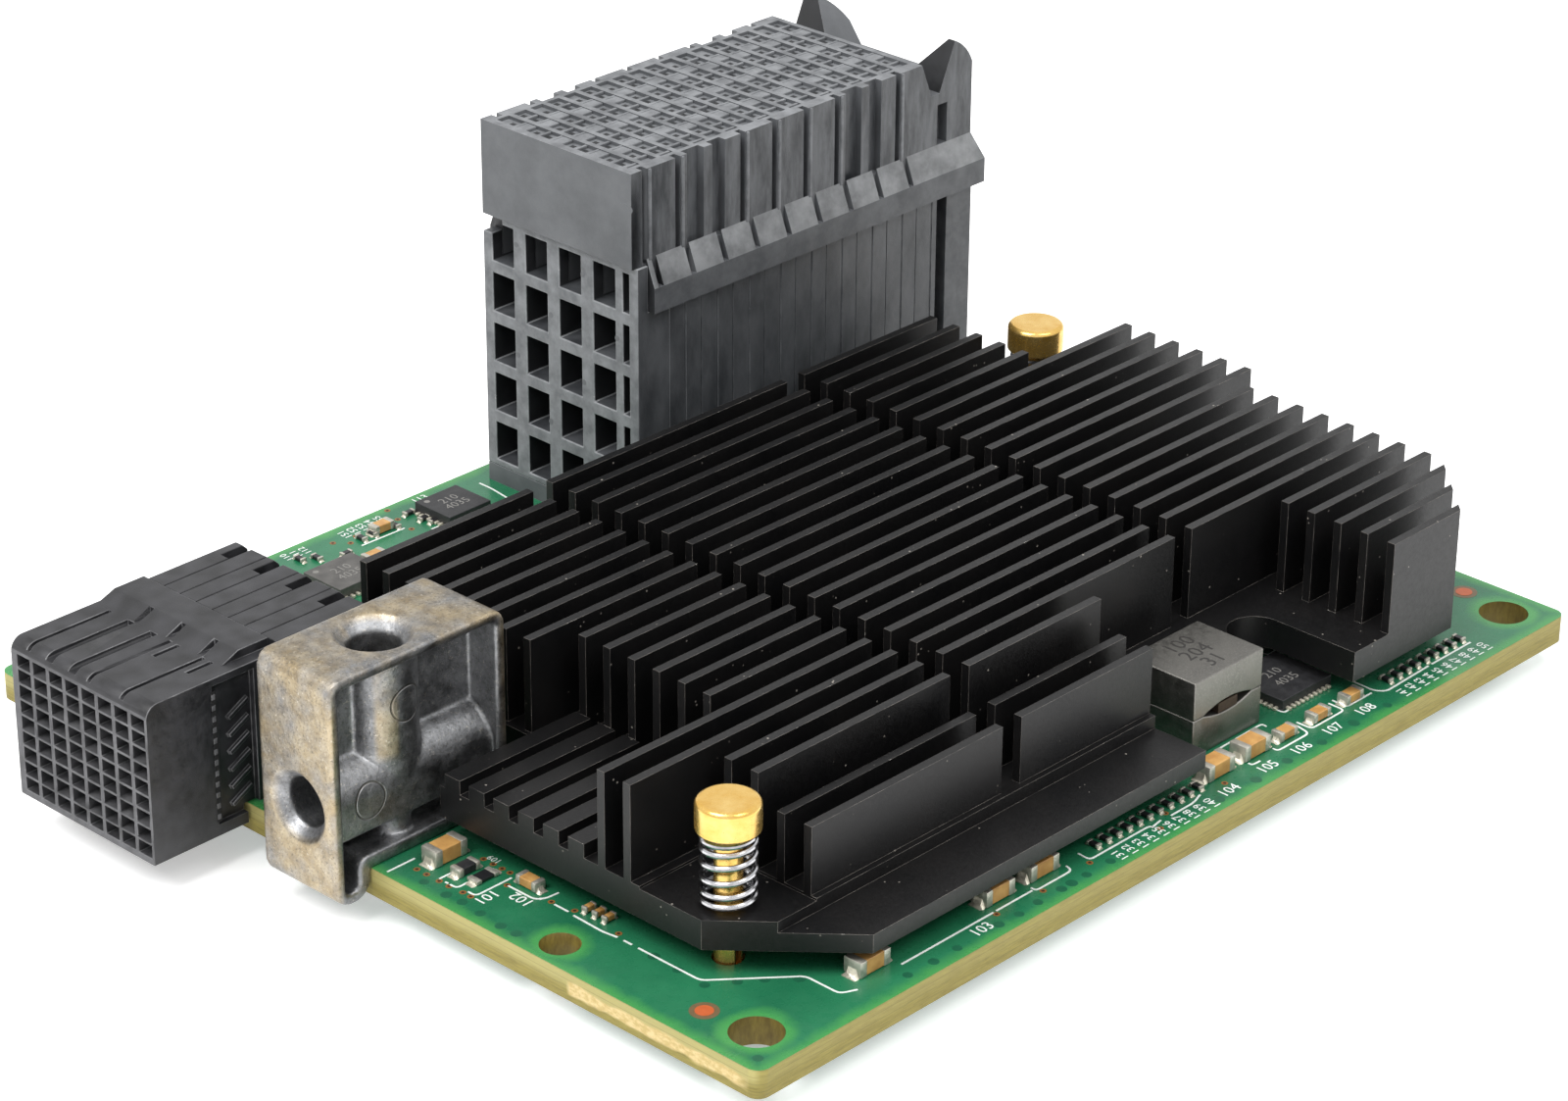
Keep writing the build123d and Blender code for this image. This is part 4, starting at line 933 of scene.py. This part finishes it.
# Plan position and height of the mould's marks on the end cover's left face
GATE_MARKS = ((73.7, 24.1), (66.1, 23.8), (69.8, 19.2), (62.3, 19.5), (73.7, 14.5), (66.1, 14.5), (70.0, 9.8))
GATE_DEPTHS = (-0.05, 0.012)


def add_gate_marks():
    """Faint round marks of the mould on the end cover's columns, and the oval one above them."""
    work = bmesh.new()
    face_x = span("mezzanine_end_cover")[0].x
    shroud_x = span("mezzanine_shroud")[0].x
    marks = [(face_x, y, height, 0.24, 0.24) for y, height in GATE_MARKS] + [(shroud_x, 60.8, 31.0, 0.75, 0.4)]
    for x, y, height, half_y, half_z in marks:
        add_tube(work, [
            [work.verts.new(spot(x - depth, y + across * half_y, height + up * half_z)) for across, up in UNIT_16]
            for depth in GATE_DEPTHS
        ])
    finish_heap(work, "mezzanine_gate_marks", GREY_PLASTIC)


def number_top(work, node, lines, size):
    """Plain numbers one below the other on a node's top."""
    low, high = span(node)
    for digits, share in lines:
        add_number(work, digits, (low.x + high.x) / 2, low.y + (high.y - low.y) * share, size, high.z)


def make_inductor():
    for half in ("lower", "upper"):
        dress("inductor_core_" + half, [FERRITE], 0.12)
    work = bmesh.new()
    number_top(work, "inductor_core_upper", (("100", 0.76), ("204", 0.5), ("31", 0.24)), 1.45)
    finish_heap(work, "inductor_number", DARK_PRINT, facing=False)


VOXEL = 0.155


def make_guide_block():
    """The casting: a remeshed copy of the node whose edges and inner corners are worn round."""
    work = clean_copy("guide_block")
    bmesh.ops.triangulate(work, faces=work.faces)
    made = finish_heap(work, "guide_block_cast", ZINC, ("guide_block",), facing=False)
    voxels = made.modifiers.new("voxels", "REMESH")
    voxels.mode = "VOXEL"
    voxels.voxel_size = VOXEL * MM
    worn = made.modifiers.new("worn", "SMOOTH")
    worn.factor = 0.5
    worn.iterations = 5
    worn_mesh = bpy.data.meshes.new_from_object(made.evaluated_get(bpy.context.evaluated_depsgraph_get()))
    made.modifiers.clear()
    made.data = worn_mesh
    worn_mesh.shade_smooth()


# Small electronic parts

CAP_ROUNDING = 0.09
CAP_SHARE = 0.22
LIFT = 0.04
FILLET_STEPS = 5


def solids(node):
    """Lowest and highest plan position and height of each separate solid of a CAD node."""
    work = welded(node)
    found, done = [], set()
    for start in work.verts:
        if start in done:
            continue
        done.add(start)
        group = [start]
        for vert in group:
            for edge in vert.link_edges:
                other = edge.other_vert(vert)
                if other not in done:
                    done.add(other)
                    group.append(other)
        ends = [Vector([pick(vert.co[axis] for vert in group) for axis in range(3)]) for pick in (min, max)]
        found.append([(end - CORNER) / MM for end in ends])
    work.free()
    return found


class ChipRow:
    """Chip parts of one kind, in the places of a CAD node's solids: bodies, silver ends and solder."""

    def __init__(self, node):
        self.node = node
        self.bodies, self.ends, self.solder = bmesh.new(), bmesh.new(), bmesh.new()
        for low, high in solids(node):
            size = high - low
            self.add((low.x + high.x) / 2, (low.y + high.y) / 2, max(size.x, size.y), min(size.x, size.y),
                     size.z - LIFT, 0 if size.x >= size.y else 90)

    def add(self, x, y, length, width, height, turn=0.0):
        cap = length * CAP_SHARE
        middle = board_top + LIFT + height / 2
        add_block(self.bodies, spot(x, y, middle), (length - 0.1, width - 0.08, height - 0.08),
                  min(0.05, height / 8), turn, 1)
        for side in (-1, 1):
            way = Vector((cos(radians(turn)), sin(radians(turn)), 0)) * side
            centre = spot(x, y, middle) + way * (length - cap) / 2 * MM
            add_block(self.ends, centre, (cap, width, height), min(CAP_ROUNDING, height / 5), turn)
            self.fillet(spot(x, y, board_top) + way * (length / 2 - 0.05) * MM, way,
                        width * 0.92, min(0.5, length * 0.22), height * 0.6)

    def fillet(self, foot, way, width, reach, height):
        """Concave solder slope from the end of a part down to its pad."""
        across = Vector((-way.y, way.x, 0))
        rows = []
        for step in range(FILLET_STEPS + 1):
            share = step / FILLET_STEPS
            rise = Vector((0, 0, (0.05 + height * (1 - share) ** 2.2) * MM))
            side = across * width * (0.5 - 0.08 * (1 - share)) * (1 - 0.25 * share ** 3) * MM
            base = foot + way * reach * share * MM
            row = (base - side, base - side * 0.55 + rise, base + side * 0.55 + rise, base + side)
            rows.append([self.solder.verts.new(place) for place in row])
        add_tube(self.solder, rows)

    def done(self, name, finish, slot):
        finish_heap(self.bodies, name + "_bodies", finish, (self.node,))
        finish_heap(self.ends, name + "_ends", TINNED, smooth=True)
        finish_heap(self.solder, name + "_solder", SOLDER, smooth=True)


# Parts too small for the CAD model, with the turn of each about Z
LOOSE_RESISTORS = (
    [(70.7, y, 0) for y in (5.2, 6.0, 7.1, 8.1, 9.0, 11.2)]
    + [(71.9 + step * 1.15, 3.35, 90) for step in range(9)]
    + [(63.6 + step * 1.3, 13.9, 90) for step in range(5)]
    + [(71.4, 13.5, 0), (71.4, 15.0, 0), (27.9, 77.2, 90), (29.0, 76.4, 90), (31.1, 75.3, 0), (39.5, 77.2, 0)]
    + [(33.8, 76.5, 90), (35.0, 76.5, 90), (37.2, 76.3, 90), (39.7, 75.6, 0), (40.0, 74.7, 0)]
)
LOOSE_CERAMICS = ((6.6, 22.5, 0), (6.65, 21.55, 0), (6.65, 20.6, 0))
# Length and width of the smallest chip parts
TINY = (1.05, 0.55)


def make_capacitors():
    ChipRow("bulk_capacitors").done("bulk_capacitor", CERAMIC, "tan_ceramic")
    small = ChipRow("ceramic_capacitors")
    small.add(41.5, 74.1, 1.6, 0.85, 0.7)
    for x, y, turn in LOOSE_CERAMICS:
        small.add(x, y, *TINY, 0.5, turn)
    small.done("small_capacitor", CERAMIC, "tan_ceramic")
    ChipRow("ferrite_bead").done("bead", CHIP_PLASTIC, "chip_plastic")


def make_resistors():
    rows = ChipRow("chip_resistors")
    for x, y, turn in LOOSE_RESISTORS:
        rows.add(x, y, *TINY, 0.35, turn)
    rows.done("resistor", RESISTOR_BLACK, "chip_plastic")


# Length, width and height of a chip's leads, and how far the outer ones stand from its corners
LEAD = (0.6, 0.3, 0.26)
LEAD_INSET = 0.3
CHIPS = (("power_controller", CHIP_PLASTIC, 10), ("rear_driver_chip", CHIP_PLASTIC, 8),
         ("rear_logic_chip", BROWN_CHIP, 8))


def make_chips():
    leads, marks = bmesh.new(), bmesh.new()
    for node, finish, count in CHIPS:
        dress(node, [finish], 0.06)
        low, high = span(node)
        for step in range(count):
            share = (step + 0.5) / count
            x = low.x + LEAD_INSET + (high.x - low.x - 2 * LEAD_INSET) * share
            y = low.y + LEAD_INSET + (high.y - low.y - 2 * LEAD_INSET) * share
            for place, turn in (((x, low.y - 0.1), 90), ((x, high.y + 0.1), 90),
                                ((low.x - 0.1, y), 0), ((high.x + 0.1, y), 0)):
                add_block(leads, spot(*place, board_top + LEAD[2] / 2), LEAD, 0.08, turn)
        size = min(1.0, (high.y - low.y) / 4)
        number_top(marks, node, (("210", 0.62), ("4035", 0.36)), size * 0.9)
        dot = circle_points(low.x + size * 0.7, high.y - size * 0.7, size / 4, 20)
        add_prism(marks, dot, high.z, high.z + 0.01)
    finish_heap(leads, "chip_leads", SOLDER, smooth=True)
    finish_heap(marks, "chip_marks", CHIP_PRINT, facing=False)


# Printed lines, vias and marks on the board

PRINT_HIGH = 0.03
PRINT_WIDTH = 0.16
SWEEP = 0.45
SWEEP_STEPS = 4


def rounded(corners):
    """Plan points of a line whose inner corners are swept round."""
    points = [corners[0]]
    for before, here, after in zip(corners, corners[1:], corners[2:]):
        here = Vector(here)
        into, out = Vector(before) - here, Vector(after) - here
        start = here + into.normalized() * min(SWEEP, into.length / 2)
        end = here + out.normalized() * min(SWEEP, out.length / 2)
        for step in range(SWEEP_STEPS + 1):
            share = step / SWEEP_STEPS
            points.append(start * (1 - share) ** 2 + here * 2 * share * (1 - share) + end * share ** 2)
    return points + [corners[-1]]


# Corners of each printed line, as plan positions
PRINTED_LINES = (
    [(0.4, 36.3), (3.0, 36.3)], [(2.3, 33.0), (3.7, 33.0)], [(2.3, 32.4), (2.3, 32.1)],
    [(2.3, 31.9), (2.3, 31.2), (5.9, 31.3)], [(2.5, 30.3), (2.5, 29.5), (5.9, 29.5)],
    [(5.0, 28.9), (5.0, 26.3), (5.6, 25.8), (6.8, 25.7)], [(5.5, 24.8), (5.5, 23.4)],
    [(5.4, 22.8), (5.3, 19.8), (5.5, 18.6)], [(5.5, 18.0), (5.5, 17.2)],
    [(5.5, 16.6), (5.5, 10.7), (10.8, 6.0), (10.8, 2.9), (12.0, 2.35)], [(16.4, 2.4), (25.8, 2.4)],
    [(26.1, 2.4), (29.9, 2.4)], [(30.1, 2.7), (30.1, 2.2), (33.9, 2.2), (34.1, 2.9)],
    [(36.0, 3.4), (35.9, 2.25), (42.5, 2.25), (42.5, 1.9)], [(42.5, 2.0), (43.7, 2.2)],
    [(44.7, 2.1), (47.3, 2.1), (48.5, 2.5)], [(54.6, 5.8), (60.0, 5.9), (59.9, 5.4)],
    [(54.6, 2.9), (54.6, 2.5), (55.5, 2.5)], [(57.6, 3.0), (57.6, 2.5), (61.3, 2.5), (61.6, 3.9)],
    [(62.0, 4.2), (62.0, 2.8), (66.0, 2.8), (66.0, 4.3)], [(66.6, 4.4), (66.5, 3.0), (69.6, 3.0)],
    [(70.3, 11.3), (70.0, 3.1), (70.6, 2.35), (76.1, 2.5)], [(76.5, 2.5), (81.5, 2.5)],
    [(68.9, 12.9), (69.0, 12.3), (70.2, 12.5)], [(62.5, 8.2), (62.5, 5.8), (63.1, 5.8)],
    [(47.5, 77.4), (47.5, 76.0), (47.2, 73.8)], [(33.1, 75.7), (37.6, 75.6)], [(39.0, 73.9), (40.0, 73.9)],
)
# Plan position, size and turn of the plain numbers beside the parts
PRINTED_NUMBERS = (
    (2.9, 28.75, 1.0, 0), (4.4, 26.9, 1.0, 90), (23.6, 1.5, 1.0, 0), (50.5, 1.4, 1.0, 0), (55.2, 1.55, 1.0, 0),
    (59.1, 1.5, 1.0, 0), (63.1, 1.65, 1.0, 0), (67.2, 1.75, 1.0, 0), (6.8, 32.2, 0.6, 90),
    (27.6, 78.4, 0.65, 90), (28.5, 78.3, 0.65, 90), (29.4, 78.3, 0.65, 90), (42.1, 78.7, 0.8, 0),
)
SMALL_NUMBERS = (
    [(37.9 + step * 1.15, 1.15) for step in range(10)]
    + [(71.4 + step * 1.15, 1.3) for step in range(10)]
    + [(33.5 + step * 0.95, 78.15) for step in range(5)]
)
ALIGNMENT_MARKS = ((3.0, 7.87), (88.1, 7.9))


def make_print():
    work = bmesh.new()
    for line in PRINTED_LINES:
        add_ribbon(work, rounded(line), PRINT_WIDTH, board_top, board_top + PRINT_HIGH)
    finish_heap(work, "printed_lines", PRINT)
    work = bmesh.new()
    for step, (x, y, size, turn) in enumerate(PRINTED_NUMBERS):
        add_number(work, str(101 + step), x, y, size, board_top + PRINT_HIGH / 2, turn)
    for step, (x, y) in enumerate(SMALL_NUMBERS):
        add_number(work, str(131 + step), x, y, 0.72, board_top + PRINT_HIGH / 2, 90)
    finish_heap(work, "printed_numbers", PRINT, facing=False)


OPEN_VIAS = (
    (2.1, 35.1), (2.1, 34.1), (2.1, 32.8), (2.1, 31.8), (2.2, 30.5), (2.2, 29.7), (6.3, 32.8), (6.3, 31.8),
    (6.3, 30.9), (6.3, 30.1), (5.0, 29.0), (5.6, 25.2), (5.9, 23.2), (5.9, 18.9), (25.8, 2.1), (30.4, 1.85),
    (35.6, 2.0), (42.8, 1.5), (44.7, 2.6), (51.1, 2.3), (55.0, 4.7), (33.3, 73.8), (37.9, 75.1), (38.3, 77.2),
    (38.8, 79.0), (32.8, 76.7), (33.9, 77.3), (31.8, 77.7),
)
TENTED_VIAS = (
    (1.3, 33.5), (1.2, 31.1), (1.3, 29.6), (15.7, 1.2), (18.2, 1.1), (20.6, 1.1), (24.9, 1.1), (26.9, 1.0),
    (29.0, 1.1), (31.5, 1.1), (32.6, 1.1), (34.2, 1.1), (36.8, 1.1), (49.0, 1.1), (53.1, 1.0), (56.9, 1.1),
    (60.9, 1.0), (64.9, 1.1), (68.9, 1.0), (5.5, 15.1), (5.4, 12.7), (5.3, 10.1), (7.1, 8.8), (8.6, 7.7),
    (10.3, 6.1), (1.35, 1.35),
)


# Heights of plated rings, of the dark dots of painted shade on them and of masked pads
RING_HIGH = 0.012
DOT_HIGH = 0.018
TENT_HIGH = 0.008
# Radius and number of sides
RING = (0.26, 14)
DOT = (0.13, 10)
GROUND = (1.05, 32)
MARK = (0.66, 28)


def make_vias():
    """Brown ringed vias with dark dots of painted shade for their holes, darker tented ones, and the two copper
    alignment marks.
    """
    chance = random.Random(7)
    rings, hole_shade_dots, tents, grounds, marks = (bmesh.new() for _ in range(5))
    for x, y in OPEN_VIAS:
        add_disc(rings, x, y, *RING, 0, RING_HIGH)
        add_disc(hole_shade_dots, x, y, *DOT, RING_HIGH, DOT_HIGH)
    left_edge = [(1.1 + chance.uniform(-0.15, 0.15), y) for y in (23.9, 25.4, 27.6)]
    for x, y in [*TENTED_VIAS, *left_edge]:
        add_disc(tents, x, y, chance.uniform(0.36, 0.46), 18, 0, TENT_HIGH)
    for x, y in ALIGNMENT_MARKS:
        add_disc(grounds, x, y, *GROUND, 0, RING_HIGH)
        add_disc(marks, x, y, *MARK, 0, PRINT_HIGH)
    for work, name, finish in ((rings, "via_rings", VIA_RING), (hole_shade_dots, "via_holes", VIA_HOLE_SHADE),
                               (tents, "tented_vias", TENTED), (grounds, "alignment_grounds", COPPER_RING),
                               (marks, "alignment_marks", COPPER)):
        finish_heap(work, name, finish)


def make_hidden():
    """Nodes that barely show keep their CAD form, and get their node materials."""
    for node, finish in (("controller_substrate", SUBSTRATE), ("controller_lid", PLATED), ("thermal_pad", RUBBER),
                         ("edge_contact_tails", TINNED), ("support_foot", PALE_PLASTIC),
                         ("inductor_strip", STRIP), ("guide_screw", PLATED)):
        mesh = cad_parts[node].data
        mesh.materials.clear()
        mesh.materials.append(finish)


# Camera, floor and light

LENS = 104.03
SENSOR = 36.0
CAMERA_PLACE = (-178.767, -170.773, 163.817)
CAMERA_HEADING = 43.37
CAMERA_DIP = 26.58
CAMERA_ROLL = 0.448


def make_camera():
    data = bpy.data.cameras.new("camera")
    data.sensor_fit = "HORIZONTAL"
    data.sensor_width = SENSOR
    data.lens = LENS
    camera = new_object("camera", data)
    heading = radians(CAMERA_HEADING)
    dip = radians(CAMERA_DIP)
    forward = Vector((cos(dip) * cos(heading), cos(dip) * sin(heading), -sin(dip)))
    level = forward.to_track_quat("-Z", "Y").to_matrix().to_4x4()
    camera.matrix_world = (
        Matrix.Translation(spot(*CAMERA_PLACE)) @ level @ Matrix.Rotation(radians(CAMERA_ROLL), 4, "Z")
    )
    bpy.context.scene.camera = camera


WHITE = [1, 1, 1, 1]
FLOOR_GREY = [0.86, 0.86, 0.86, 1]
HORIZON_STRENGTH = 0.08
ZENITH_STRENGTH = 1.1
FULL_LIGHT_RISE = 0.65
FLOOR_HALF = 2.0
FLOOR_GLOW = 0.4


def make_world():
    world = bpy.data.worlds.new("studio")
    world.use_nodes = True
    nodes = Nodes(world.node_tree)
    # The light grows from the horizon up, so that it is dark under the heat sink
    climb = nodes.component(nodes.node("TexCoord").outputs["Generated"], "Z")
    strength = nodes.remap(climb, 0.0, FULL_LIGHT_RISE, HORIZON_STRENGTH, ZENITH_STRENGTH,
                           interpolation_type="SMOOTHSTEP")
    soft, plain = nodes.tree.nodes["Background"], nodes.node("Background")
    for shader, level in ((soft, strength), (plain, 1.0)):
        nodes.feed(shader.inputs["Color"], WHITE)
        nodes.feed(shader.inputs["Strength"], level)
    choose = nodes.node("MixShader")
    for socket, source in zip(choose.inputs, (nodes.seen_share(), soft.outputs[0], plain.outputs[0])):
        nodes.feed(socket, source)
    nodes.feed(nodes.tree.nodes["World Output"].inputs["Surface"], choose.outputs[0])
    bpy.context.scene.world = world


def make_floor():
    finish = Finish("floor", FLOOR_GREY, 0.9)
    finish.feed(finish.shader["Emission Color"], WHITE)
    finish.feed(finish.shader["Emission Strength"], finish.times(finish.seen_share(), FLOOR_GLOW))
    mesh = bpy.data.meshes.new("floor")
    corners = [(x * FLOOR_HALF, y * FLOOR_HALF, cad_low.z) for x, y in ((-1, -1), (1, -1), (1, 1), (-1, 1))]
    mesh.from_pydata(corners, [], [(0, 1, 2, 3)])
    mesh.materials.append(finish.made)
    floor = new_object("floor", mesh)


LAMP_AIM = Vector((0.04, 0.035, 0.01))
LAMP_SIZE = 0.5


def make_lamp(name, place, watts):
    data = bpy.data.lights.new(name, "AREA")
    data.size = LAMP_SIZE
    data.energy = watts
    lamp = new_object(name, data)
    lamp.location = place
    lamp.rotation_mode = "QUATERNION"
    lamp.rotation_quaternion = (LAMP_AIM - Vector(place)).to_track_quat("-Z", "Y")


def make_light():
    make_lamp("key", (-0.45, 0.1, 0.75), 6.3)
    make_lamp("fill", (0.1, -0.6, 0.9), 4.0)
    bpy.context.scene.view_settings.view_transform = "Standard"


make_camera()
make_world()
make_floor()
make_light()
make_board()
make_heat_sink()
make_pins()
make_connectors()
make_inductor()
make_guide_block()
make_capacitors()
make_resistors()
make_chips()
make_print()
make_vias()
make_hidden()
